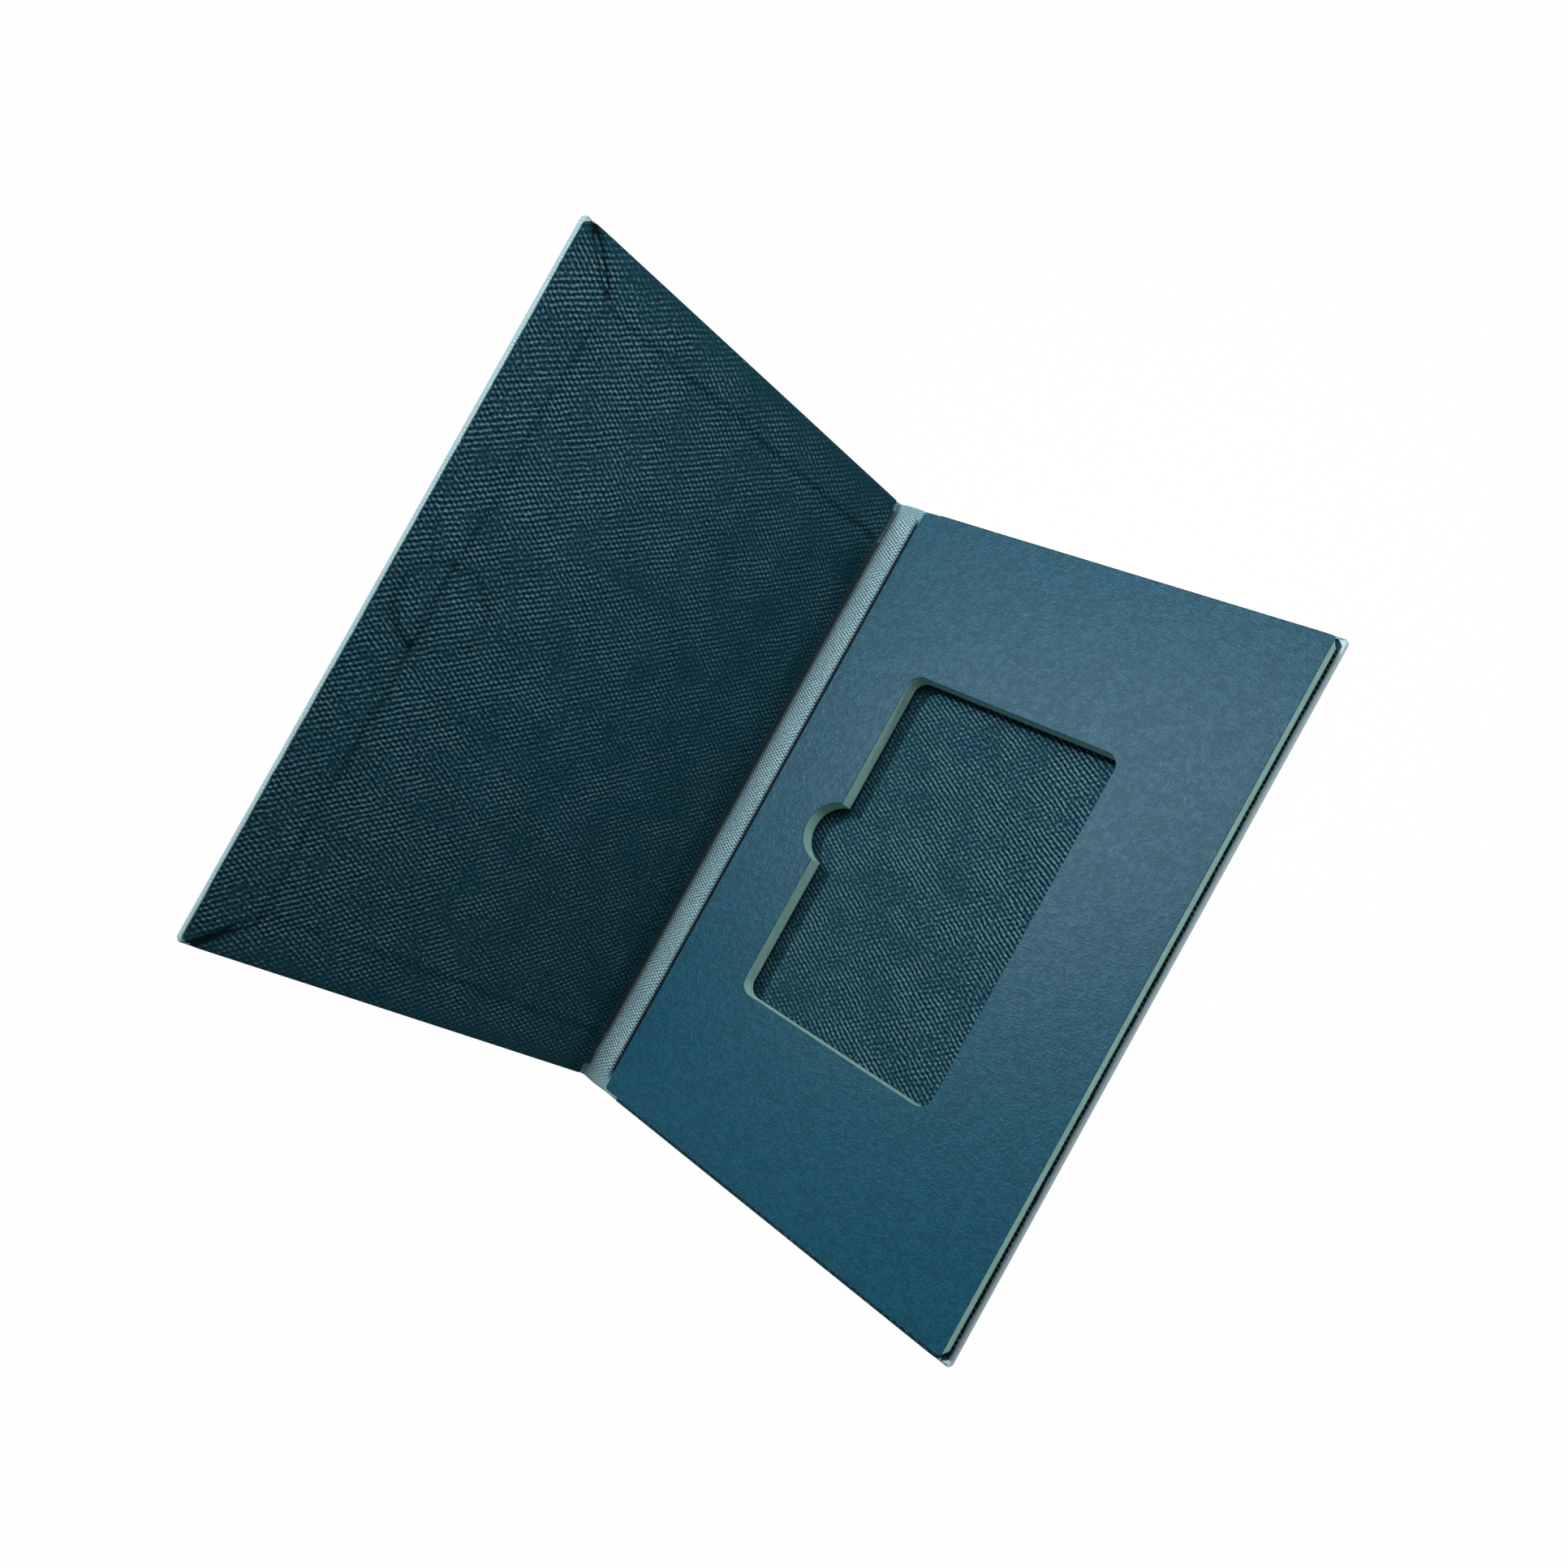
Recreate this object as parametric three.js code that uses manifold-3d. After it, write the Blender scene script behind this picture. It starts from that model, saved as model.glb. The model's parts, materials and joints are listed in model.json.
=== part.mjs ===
// A hard folder that holds one bank-size card. A base panel and a cover panel are joined by a narrow
// spine, and all three are boards wrapped in cloth. A raised insert on the base has a window for the
// card. Millimetres: X runs from the hinge to the free edge, Y along the hinge, Z up, and the origin
// is the middle of the base's underside. The folder stands open, with the spine flat on the table.

import * as THREE from 'three';
import { mergeVertices } from 'three/addons/utils/BufferGeometryUtils.js';
import Module from 'manifold-3d';

const wasm = await Module();
wasm.setup();

// The card and the window that holds it
const cardLength = 85.6;
const cardWidth = 53.98;
const cardClearance = 0.5;
const windowRadius = 3.2;
const windowFromInsertEdge = 20;
const notchRadius = 7.8;
const notchDepth = 6.05;

// The insert, from its top sheet down to the tape that carries it
const insertWidth = 102;
const insertLength = 165;
const insertRadius = 1;
const faceThickness = 0.3;
const coreThickness = 3.4;
const backingThickness = 1;
const tapeThickness = 1.8;
const tapeSetback = 1.5;
const tapeEndGap = 2;

// The panels: how far they stand out past the insert, and their layers
const overhangAtHinge = 2;
const overhangAtFreeEdge = 1;
const overhangAtEnds = 3;
const panelRadius = 0.8;
const cloth = 0.25;
const paste = 0.3;
const board = 1.1;
const turnIn = 12;
const liningSetback = 0.6;

// Along each panel from its hinge edge: where the bending cloth ends, where the end of the inner
// hinge cloth stops on the board, and where the lining starts
const hingeSeat = 1.5;
const hingeLap = 12;
const liningFromHinge = 2.3;

// The magnet in the cover and the steel disc in the base
const magnetDiameter = 19;
const magnetThickness = 1;
const magnetClearance = 0.3;
const magnetFromFreeEdge = 13.7;

// The hinges
const closingGap = 0.3;
const jointPlay = 0.6;
const grooveClearance = 0.3;
const coverLean = THREE.MathUtils.degToRad(70.5);

// One overrun serves every cut, and round stretches share these counts of steps
const overrun = 5;
const arcSteps = 8;
const dipSteps = 16;
const discSteps = 48;

// Heights inside one panel, from its outer face to its lining
const boardBottom = cloth + paste;
const boardTop = boardBottom + board;
const turnInBottom = boardTop + paste;
const turnInTop = turnInBottom + cloth;
const liningBottom = turnInTop + paste;
const panelThickness = liningBottom + cloth;

const panelWidth = overhangAtHinge + insertWidth + overhangAtFreeEdge;
const panelLength = insertLength + 2 * overhangAtEnds;
const panelEdge = panelWidth / 2;
const panelEnd = panelLength / 2;

// Heights of the insert's layers above the table
const backingBottom = panelThickness + tapeThickness;
const coreBottom = backingBottom + backingThickness;
const faceBottom = coreBottom + coreThickness;
const insertTop = faceBottom + faceThickness;

// The hinge axes lie in the middle of the outer cloth. They are as far apart as the closed folder
// is high, and the spine leaves room at each of them for a panel's thickness.
const axisHeight = cloth / 2;
const spinePitch = insertTop + closingGap + panelThickness - cloth;
const baseAxisX = -panelEdge - jointPlay;
const coverAxisX = baseAxisX - spinePitch;
const spineMargin = panelThickness - axisHeight + grooveClearance;
const spineHigh = baseAxisX - spineMargin;
const spineLow = coverAxisX + spineMargin;

const insertLeft = -panelEdge + overhangAtHinge;
const insertRight = insertLeft + insertWidth;
const windowLeft = insertLeft + windowFromInsertEdge;
const windowRight = windowLeft + cardWidth + 2 * cardClearance;
const windowHalfLength = cardLength / 2 + cardClearance;

// Finishes
const outerCloth = { color: 0x8aabb6, roughness: 0.75, metalness: 0 };
const liningCloth = { color: 0x26414f, roughness: 0.8, metalness: 0 };
const facePaper = { color: 0x46697a, roughness: 0.6, metalness: 0 };
const paleFoam = { color: 0x8fb3ae, roughness: 0.9, metalness: 0 };
const beigeBoard = { color: 0xb4bdb0, roughness: 0.9, metalness: 0 };
const darkFoam = { color: 0x14181a, roughness: 0.95, metalness: 0 };
const greyBoard = { color: 0x8b857b, roughness: 0.95, metalness: 0 };
const nickel = { color: 0xb9bcc0, roughness: 0.35, metalness: 1 };

// A closed shape as a solid that can be cut.
function solidOf(geometry) {
  const bare = geometry.clone();
  bare.deleteAttribute('normal');
  bare.deleteAttribute('uv');
  const merged = mergeVertices(bare);
  const mesh = new wasm.Mesh({
    numProp: 3,
    vertProperties: new Float32Array(merged.attributes.position.array),
    triVerts: new Uint32Array(merged.index.array),
  });
  return new wasm.Manifold(mesh);
}

// A cut solid as a geometry again.
function geometryOf(solid) {
  const mesh = solid.getMesh();
  const geometry = new THREE.BufferGeometry();
  geometry.setAttribute('position', new THREE.BufferAttribute(mesh.vertProperties, mesh.numProp));
  geometry.setIndex(new THREE.BufferAttribute(mesh.triVerts, 1));
  geometry.computeVertexNormals();
  return geometry;
}

// Points along an arc, both ends among them.
function arc(x, y, radius, start, sweep, steps) {
  const points = [];
  for (let step = 0; step <= steps; step += 1) {
    const angle = start + sweep * step / steps;
    points.push(new THREE.Vector2(x + radius * Math.cos(angle), y + radius * Math.sin(angle)));
  }
  return points;
}

// A rectangle centred in Y. The radii of its corners run anticlockwise from the low one.
function rectangle(left, right, halfLength, radii) {
  const corners = [
    [left, -halfLength, 1, 1],
    [right, -halfLength, -1, 1],
    [right, halfLength, -1, -1],
    [left, halfLength, 1, -1],
  ];
  const quarter = Math.PI / 2;
  return corners.flatMap(([x, y, inX, inY], index) => {
    const radius = radii[index];
    if (radius === 0) {
      return [new THREE.Vector2(x, y)];
    }
    const start = Math.PI + index * quarter;
    return arc(x + inX * radius, y + inY * radius, radius, start, quarter, arcSteps);
  });
}

function plainRectangle(left, right, halfLength) {
  return rectangle(left, right, halfLength, [0, 0, 0, 0]);
}

// A flat sheet or plate between two heights, with its holes.
function plate(outline, bottom, top, holes = []) {
  const shape = new THREE.Shape(outline);
  shape.holes = holes.map((points) => new THREE.Path(points));
  const geometry = new THREE.ExtrudeGeometry(shape, { depth: top - bottom, bevelEnabled: false });
  geometry.translate(0, 0, bottom);
  return geometry;
}

// A strip along Y, from its outline in X and Z.
function strip(outline) {
  const shape = new THREE.Shape(outline);
  const geometry = new THREE.ExtrudeGeometry(shape, { depth: panelLength, bevelEnabled: false });
  geometry.rotateX(Math.PI / 2);
  geometry.translate(0, panelEnd, 0);
  return geometry;
}

// A disc that stands on a height, with its axis along Z.
function disc(x, diameter, bottom, thickness) {
  const geometry = new THREE.CylinderGeometry(diameter / 2, diameter / 2, thickness, discSteps);
  geometry.rotateX(Math.PI / 2);
  geometry.translate(x, 0, bottom + thickness / 2);
  return geometry;
}

// Adds one named piece with its own material.
function add(group, name, geometry, finish) {
  const mesh = new THREE.Mesh(geometry, new THREE.MeshStandardMaterial(finish));
  mesh.name = name;
  group.add(mesh);
}

// One wrapped panel. Its hinge edge is at hingeX, and it runs towards +X or -X, as side says.
function addPanel(group, prefix, hingeX, side, discName) {
  // A rectangle between two distances from the hinge edge, drawn in from the panel's ends, with
  // the two corners at the free edge rounded.
  function area(near, far, fromEnds, radius) {
    const left = Math.min(hingeX + side * near, hingeX + side * far);
    const right = Math.max(hingeX + side * near, hingeX + side * far);
    const radii = side > 0 ? [0, radius, radius, 0] : [radius, 0, 0, radius];
    return rectangle(left, right, panelEnd - fromEnds, radii);
  }

  // The outer cloth is a tray open at the hinge, turned in over the board along its other three
  // edges. Next to the hinge it stops lower, to leave a seat for the cloth that bends there.
  const outside = area(0, panelWidth, 0, panelRadius);
  const hollow = area(-overrun, panelWidth - cloth, cloth, panelRadius - cloth);
  const mouth = area(-overrun, panelWidth - turnIn, turnIn, 0);
  const seat = area(-overrun, hingeSeat, -overrun, 0);
  const wrap = solidOf(plate(outside, 0, turnInTop))
    .subtract(solidOf(plate(hollow, cloth, turnInBottom)))
    .subtract(solidOf(plate(mouth, cloth, turnInTop + overrun)))
    .subtract(solidOf(plate(seat, boardTop, turnInTop + overrun)));
  add(group, `${prefix}_wrap`, geometryOf(wrap), outerCloth);

  // The board fills the tray, with a hole for the magnet or the steel disc.
  const discX = hingeX + side * (panelWidth - magnetFromFreeEdge);
  const holeRadius = magnetDiameter / 2 + magnetClearance;
  const edge = cloth + paste;
  const boardOutline = area(paste, panelWidth - edge, edge, 0);
  const hole = arc(discX, 0, holeRadius, 0, -2 * Math.PI * (1 - 1 / discSteps), discSteps - 1);
  add(group, `${prefix}_board`, plate(boardOutline, boardBottom, boardTop, [hole]), greyBoard);

  // The disc is a little thinner than the board and lies in the middle of it.
  const discBottom = boardBottom + (board - magnetThickness) / 2;
  const discGeometry = disc(discX, magnetDiameter, discBottom, magnetThickness);
  add(group, `${prefix}_${discName}`, discGeometry, nickel);

  // The end of the inner hinge cloth lies on the board, between the turned-in ends.
  const lap = area(hingeSeat, hingeLap, turnIn + paste, 0);
  add(group, `${prefix}_hinge_lap`, plate(lap, turnInBottom, turnInTop), outerCloth);

  // The lining covers the rest, just inside the panel's edges.
  const lining = area(liningFromHinge, panelWidth - liningSetback, liningSetback, 0);
  add(group, `${prefix}_lining`, plate(lining, liningBottom, panelThickness), liningCloth);
}

// The card window and its thumb notch as one outline. The notch's centre lies inside the window, so
// that its arc is less than a half circle.
function windowOutline() {
  const quarter = Math.PI / 2;
  const lowY = -windowHalfLength + windowRadius;
  const highY = windowHalfLength - windowRadius;
  const leftX = windowLeft + windowRadius;
  const rightX = windowRight - windowRadius;
  const notchX = windowLeft + notchRadius - notchDepth;
  const notchAngle = Math.acos((notchX - windowLeft) / notchRadius);
  return [
    ...arc(leftX, lowY, windowRadius, 2 * quarter, quarter, arcSteps),
    ...arc(rightX, lowY, windowRadius, 3 * quarter, quarter, arcSteps),
    ...arc(rightX, highY, windowRadius, 0, quarter, arcSteps),
    ...arc(leftX, highY, windowRadius, quarter, quarter, arcSteps),
    ...arc(notchX, 0, notchRadius, Math.PI - notchAngle, 2 * notchAngle, 2 * arcSteps),
  ];
}

function addInsert(group) {
  const radii = [insertRadius, insertRadius, insertRadius, insertRadius];
  const outline = rectangle(insertLeft, insertRight, insertLength / 2, radii);
  const layers = [
    ['insert_backing', backingBottom, coreBottom, beigeBoard],
    ['insert_core', coreBottom, faceBottom, paleFoam],
    ['insert_face', faceBottom, insertTop, facePaper],
  ];
  for (const [name, bottom, top, finish] of layers) {
    add(group, name, plate(outline, bottom, top, [windowOutline()]), finish);
  }
}

// Four strips of foam tape, set back from every edge of the insert: two long ones beside the window
// and two short ones between them.
function addTape(group) {
  const halfLong = insertLength / 2 - tapeSetback;
  const hingeEnd = windowLeft - notchDepth - tapeSetback;
  const freeStart = windowRight + tapeSetback;
  const hingeTape = plainRectangle(insertLeft + tapeSetback, hingeEnd, halfLong);
  add(group, 'mounting_tape_hinge', plate(hingeTape, panelThickness, backingBottom), darkFoam);
  const freeTape = plainRectangle(freeStart, insertRight - tapeSetback, halfLong);
  add(group, 'mounting_tape_free', plate(freeTape, panelThickness, backingBottom), darkFoam);

  const shortStart = windowHalfLength + tapeSetback;
  const halfShort = (halfLong - shortStart) / 2;
  const shortTape = plainRectangle(hingeEnd + tapeEndGap, freeStart - tapeEndGap, halfShort);
  for (const [name, side] of [['mounting_tape_front', -1], ['mounting_tape_back', 1]]) {
    const geometry = plate(shortTape, panelThickness, backingBottom);
    geometry.translate(0, side * (shortStart + halfShort), 0);
    add(group, name, geometry, darkFoam);
  }
}

// The spine's outer cloth is turned in over its two ends, and the inner hinge cloth lies between
// the turned-in ends.
function addSpine(group) {
  const outside = plainRectangle(spineLow, spineHigh, panelEnd);
  const hollow = plainRectangle(spineLow - overrun, spineHigh + overrun, panelEnd - cloth);
  const mouth = plainRectangle(spineLow - overrun, spineHigh + overrun, panelEnd - turnIn);
  const wrap = solidOf(plate(outside, 0, turnInTop))
    .subtract(solidOf(plate(hollow, cloth, turnInBottom)))
    .subtract(solidOf(plate(mouth, cloth, turnInTop + overrun)));
  add(group, 'spine_wrap', geometryOf(wrap), outerCloth);

  const boardEnd = panelEnd - cloth - paste;
  const boardOutline = plainRectangle(spineLow + paste, spineHigh - paste, boardEnd);
  add(group, 'spine_board', plate(boardOutline, boardBottom, boardTop), greyBoard);

  const lining = plainRectangle(spineLow, spineHigh, panelEnd - turnIn - paste);
  add(group, 'spine_lining', plate(lining, turnInBottom, turnInTop), outerCloth);
}

// The cloth between the base and the spine lies flat outside, and dips between the boards inside.
function addBaseJoint(group) {
  const outer = [
    new THREE.Vector2(spineHigh, 0),
    new THREE.Vector2(-panelEdge, 0),
    new THREE.Vector2(-panelEdge, cloth),
    new THREE.Vector2(spineHigh, cloth),
  ];
  add(group, 'base_joint_outer', strip(outer), outerCloth);

  const dip = turnInBottom - boardBottom;
  const underside = [];
  for (let step = 0; step <= dipSteps; step += 1) {
    const share = step / dipSteps;
    const x = THREE.MathUtils.lerp(spineHigh, -panelEdge, share);
    const sink = dip * (1 - Math.cos(2 * Math.PI * share)) / 2;
    underside.push(new THREE.Vector2(x, turnInBottom - sink));
  }
  underside.push(new THREE.Vector2(-panelEdge + hingeSeat, turnInBottom));
  const topside = underside.map((point) => new THREE.Vector2(point.x, point.y + cloth)).reverse();
  add(group, 'base_joint_inner', strip([...underside, ...topside]), outerCloth);
}

// A point of the leaning cover, from its distance along the cover and its height in the panel.
function onCover(along, height) {
  const rise = height - axisHeight;
  const x = coverAxisX - along * Math.cos(coverLean) + rise * Math.sin(coverLean);
  const z = axisHeight + along * Math.sin(coverLean) + rise * Math.cos(coverLean);
  return new THREE.Vector2(x, z);
}

// Where a layer of the spine meets the same layer of the leaning cover.
function crease(height) {
  return onCover((height - axisHeight) * Math.tan(coverLean / 2), height);
}

// The cloth between the spine and the cover, creased where the cover leans up from the spine.
function addCoverJoint(group) {
  const outerEnd = jointPlay - paste;
  const outer = [
    new THREE.Vector2(spineLow, 0),
    new THREE.Vector2(spineLow, cloth),
    crease(cloth),
    onCover(outerEnd, cloth),
    onCover(outerEnd, 0),
    crease(0),
  ];
  add(group, 'cover_joint_outer', strip(outer), outerCloth);

  const innerEnd = jointPlay + hingeSeat - paste;
  const inner = [
    new THREE.Vector2(spineLow, turnInBottom),
    new THREE.Vector2(spineLow, turnInTop),
    crease(turnInTop),
    onCover(innerEnd, turnInTop),
    onCover(innerEnd, turnInBottom),
    crease(turnInBottom),
  ];
  add(group, 'cover_joint_inner', strip(inner), outerCloth);
}

const folder = new THREE.Group();
addPanel(folder, 'base', -panelEdge, 1, 'keeper_disc');
addTape(folder);
addInsert(folder);
addSpine(folder);
addBaseJoint(folder);
addCoverJoint(folder);

// The cover is drawn lying flat beyond its hinge axis, and turned up about that axis.
const cover = new THREE.Group();
cover.position.set(coverAxisX, 0, axisHeight);
cover.rotation.y = coverLean;
const coverPanel = new THREE.Group();
coverPanel.position.z = -axisHeight;
cover.add(coverPanel);
addPanel(coverPanel, 'cover', -jointPlay, -1, 'magnet');
folder.add(cover);

export default folder;
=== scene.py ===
# %% [markdown]
# # A card storage box, dressed over its CAD frame
# The object is a book-style folder for one bank-size card. A base lies on the table, a narrow spine is
# hinged to it, and a cover leans back from the spine. Grey boards give the stiffness, cloth covers them and
# makes both hinges, and a raised insert with a card window is stuck on the base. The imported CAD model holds
# every size and both hinge axes, so this script loads it first and builds the looks around it.

import json
import math

import bmesh
import bpy
import numpy as np
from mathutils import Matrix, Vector, noise


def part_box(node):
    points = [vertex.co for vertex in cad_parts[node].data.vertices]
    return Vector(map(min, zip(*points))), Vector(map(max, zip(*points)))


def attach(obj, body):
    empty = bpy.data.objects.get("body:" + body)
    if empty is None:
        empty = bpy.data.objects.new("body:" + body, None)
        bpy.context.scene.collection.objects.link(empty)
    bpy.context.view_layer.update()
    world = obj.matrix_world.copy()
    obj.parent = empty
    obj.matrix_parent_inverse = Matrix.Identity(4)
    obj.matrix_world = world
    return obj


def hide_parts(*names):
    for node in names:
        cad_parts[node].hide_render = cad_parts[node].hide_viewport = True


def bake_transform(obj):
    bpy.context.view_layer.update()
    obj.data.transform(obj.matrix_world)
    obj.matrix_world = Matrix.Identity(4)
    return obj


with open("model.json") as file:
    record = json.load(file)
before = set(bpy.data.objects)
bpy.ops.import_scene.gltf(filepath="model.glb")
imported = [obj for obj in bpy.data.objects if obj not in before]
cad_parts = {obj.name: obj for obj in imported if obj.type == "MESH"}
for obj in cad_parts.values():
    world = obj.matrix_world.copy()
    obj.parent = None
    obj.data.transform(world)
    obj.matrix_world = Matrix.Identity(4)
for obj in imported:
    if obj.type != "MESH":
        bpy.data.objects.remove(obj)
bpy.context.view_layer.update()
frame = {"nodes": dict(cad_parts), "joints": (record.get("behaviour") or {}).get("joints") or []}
MM = 0.001

# %% [markdown]
# ## Sizes from the frame
# Typing a size twice is how a scene drifts away from its model. The places of the panels, the spine and the
# hinge axes are read from the CAD nodes and joints, so that a new pack of the part moves the cloth with it.

# %% Places of the panels, the spine and the hinges
panel_low, panel_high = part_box("base_wrap")
spine_low, spine_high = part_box("spine_wrap")
lining_low, lining_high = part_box("base_lining")
joint_low, joint_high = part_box("base_joint_outer")
joints = {joint["name"]: joint for joint in frame["joints"]}
HINGE_EDGE = panel_low.x
FREE_EDGE = panel_high.x
PANEL_END = panel_high.y
WRAP_TOP = panel_high.z
CLOTH = joint_high.z - joint_low.z
LINING_TOP = lining_high.z
SPINE_MIDDLE = (spine_low.x + spine_high.x) / 2
SPINE_EDGE = spine_high.x
COVER_AXIS = Vector(joints["cover_hinge"]["pos_m"])
COVER_LEAN = math.radians(-joints["cover_hinge"]["range_deg"][0])
TURN_IN = 12 * MM
print("panel", round((FREE_EDGE - HINGE_EDGE) / MM, 2), "x", round(2 * PANEL_END / MM, 2), "mm")
print("the cover leans", round(math.degrees(COVER_LEAN), 1), "degrees up from flat")

# %% [markdown]
# ## A small tool kit
# Blender's operators act on whatever is selected, and loading the frame leaves its nodes selected. Each
# piece therefore starts from an empty selection. In edit mode, faces and edges are then picked by where they
# are, which keeps working when a size changes, as a list of index numbers wouldn't.


# %% Helpers that pick up and name a piece
def go_to(mode):
    """Switches between the modes EDIT and OBJECT."""
    bpy.ops.object.mode_set(mode=mode)


def pick_all():
    """Selects the whole mesh, in edit mode."""
    bpy.ops.mesh.select_all(action="SELECT")


def start_fresh():
    """Leaves edit mode and deselects everything."""
    if bpy.context.mode != "OBJECT":
        go_to("OBJECT")
    bpy.ops.object.select_all(action="DESELECT")


def work_on(piece):
    """Makes one piece the only selected and active one."""
    start_fresh()
    piece.select_set(True)
    bpy.context.view_layer.objects.active = piece


def named(name, size):
    """Names the primitive that was just added, gives it its size and puts its place in its mesh."""
    piece = bpy.context.object
    piece.name = name
    piece.data.name = name
    piece.scale = size
    bpy.ops.object.transform_apply(location=True, rotation=True, scale=True)
    return piece


# %% Helpers that select by place or direction
FACING_SHARE = 0.9
UPRIGHT_SHARE = 0.5


def middle_of(part):
    """The middle of an edge or face."""
    if isinstance(part, bmesh.types.BMEdge):
        return (part.verts[0].co + part.verts[1].co) / 2
    return part.calc_center_median()


def faces_up(face):
    """True for a face that looks nearly straight up."""
    return face.normal.z > FACING_SHARE


def is_upright(edge):
    """True for an edge that rises by more than half of its length."""
    return abs((edge.verts[0].co - edge.verts[1].co).normalized().z) > UPRIGHT_SHARE


def pick(kind, wanted):
    """Selects, in edit mode, the edges or faces that wanted(middle, part) says yes to."""
    bpy.ops.mesh.select_mode(type=kind)
    bpy.ops.mesh.select_all(action="DESELECT")
    mesh = bmesh.from_edit_mesh(bpy.context.object.data)
    for part in {"EDGE": mesh.edges, "FACE": mesh.faces}[kind]:
        if wanted(middle_of(part), part):
            part.select_set(True)
    mesh.select_flush_mode()
    bmesh.update_edit_mesh(bpy.context.object.data)


# %% Helpers that move points and finish a piece
SMOOTH_ANGLE = math.radians(40)


def points_of(piece):
    """The piece's vertices as rows of x, y and z."""
    points = np.zeros(len(piece.data.vertices) * 3)
    piece.data.vertices.foreach_get("co", points)
    return points.reshape(-1, 3)


def move_points(piece, points):
    """Puts the piece's vertices where points says."""
    piece.data.vertices.foreach_set("co", points.ravel())
    piece.data.update()


def finish_with(piece, kind, **settings):
    """Adds a modifier with its settings and applies it."""
    work_on(piece)
    modifier = piece.modifiers.new(kind.title(), kind)
    for name, value in settings.items():
        setattr(modifier, name, value)
    bpy.ops.object.modifier_apply(modifier=modifier.name)


def soften(piece):
    """Shades smoothly over all but the sharp edges."""
    work_on(piece)
    bpy.ops.object.shade_smooth_by_angle(angle=SMOOTH_ANGLE)


# %% Helpers for smooth steps, bumps and noise
def rise(value, start, end):
    """A smooth step from 0 at start to 1 at end, for an array of values."""
    share = np.clip((value - start) / (end - start), 0, 1)
    return share * share * (3 - 2 * share)


def bump_at(value, centre, half_width):
    """A smooth bump: 1 where the value is at the centre, falling to about a third at the half width."""
    return np.exp(-(((value - centre) / half_width) ** 2))


def waver(across, along, pitch, seed):
    """Smooth noise between about -1 and 1 over a surface, with bumps about one pitch apart."""
    return np.array([noise.noise(Vector((u / pitch, v / pitch, seed))) for u, v in zip(across, along)])


def count_triangles(piece):
    """How many triangles the piece has."""
    return sum(len(face.vertices) - 2 for face in piece.data.polygons)


# %% [markdown]
# ## Where a thread lies on the cloth
# A weave has to run along the cloth, round the edges of the board and over the hinge, and not through the
# room. Each cloth piece therefore carries an attribute that says where each of its points lay while the
# sheet was still flat on the cutting table, in millimetres. The weave materials read that attribute.


# %% Helper for the cloth's own coordinates
def lay_flat(piece, across, along):
    """Stores where each vertex lay on the flat sheet, from lengths in metres."""
    attribute = piece.data.attributes.new("cloth_mm", "FLOAT_VECTOR", "POINT")
    flat = np.column_stack([across / MM, along / MM, np.zeros(len(across))])
    attribute.data.foreach_set("vector", flat.astype(np.float32).ravel())


def mark_painted_shade(piece, shares):
    """Stores how much painted shade each vertex gets, from 0 to 1, where shade falls in a fold or hollow."""
    attribute = piece.data.attributes.new("painted_shade_share", "FLOAT", "POINT")
    attribute.data.foreach_set("value", shares.astype(np.float32))


# %% [markdown]
# ## Outer cloth, base half
# One sheet of light book cloth wraps the whole case on the real object. It lies under the base, is turned up
# round the board's edges and in over the top by 12 mm, and at the hinge it runs on to the spine. A box with
# its hinge side opened, its edges rounded and its top cut out gives that tray, and Solidify makes it cloth.
# The sheet is split along the middle of the spine, because each half has to bend at its own hinge.

# %% Sizes of the outer cloth
EDGE_ROUNDING = 0.5 * MM
CORNER_RADIUS = 0.8 * MM
BEVEL_STEPS = 4
JOINT_SINK = 0.12 * MM
JOINT_LAYERS = 0.62 * MM
JOINT_COLUMNS = 18
CROWN_COLUMNS = 6
GROOVE_FADE = 1.6 * MM
GROOVE_STOP_TOP = 2.3 * MM
GROOVE_STOP_BOTTOM = 3.4 * MM
BRIDGE_DIP = 0.25 * MM
JOINT_ROUNDNESS = 0.6
JOINT_MARGIN = 0.4 * MM
JOINT_START = SPINE_EDGE - JOINT_MARGIN
SPINE_CROWN = 0.3 * MM
BEND_MARGIN = 1 * MM
TURNED_ROWS = [inset * MM for inset in (1, 2, 3, 4, 5, 6, 8)]
FREE_EDGE_COLUMNS = [1 * MM, 2 * MM]


def groove_share(y):
    """How much of its depth a hinge groove has at y: none at the two turned-in ends, all between."""
    top = rise(PANEL_END - y, GROOVE_STOP_TOP, GROOVE_STOP_TOP + GROOVE_FADE)
    bottom = rise(PANEL_END + y, GROOVE_STOP_BOTTOM, GROOVE_STOP_BOTTOM + GROOVE_FADE)
    return top * bottom


def in_joint(x):
    """1 in the middle of the gap between the base board and the spine board, and 0 outside it."""
    share = np.clip((x - JOINT_START) / (HINGE_EDGE - JOINT_START), 0, 1)
    return np.sin(math.pi * share) ** JOINT_ROUNDNESS


def crown_of_spine(x):
    """How far the cloth stands up in the middle of the spine, falling to nothing at its two edges."""
    share = (x - SPINE_MIDDLE) / (SPINE_EDGE - SPINE_MIDDLE)
    return SPINE_CROWN * np.maximum(1 - share * share, 0)


print("gap beside the base board:", round((HINGE_EDGE - SPINE_EDGE) / MM, 2), "mm")


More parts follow.
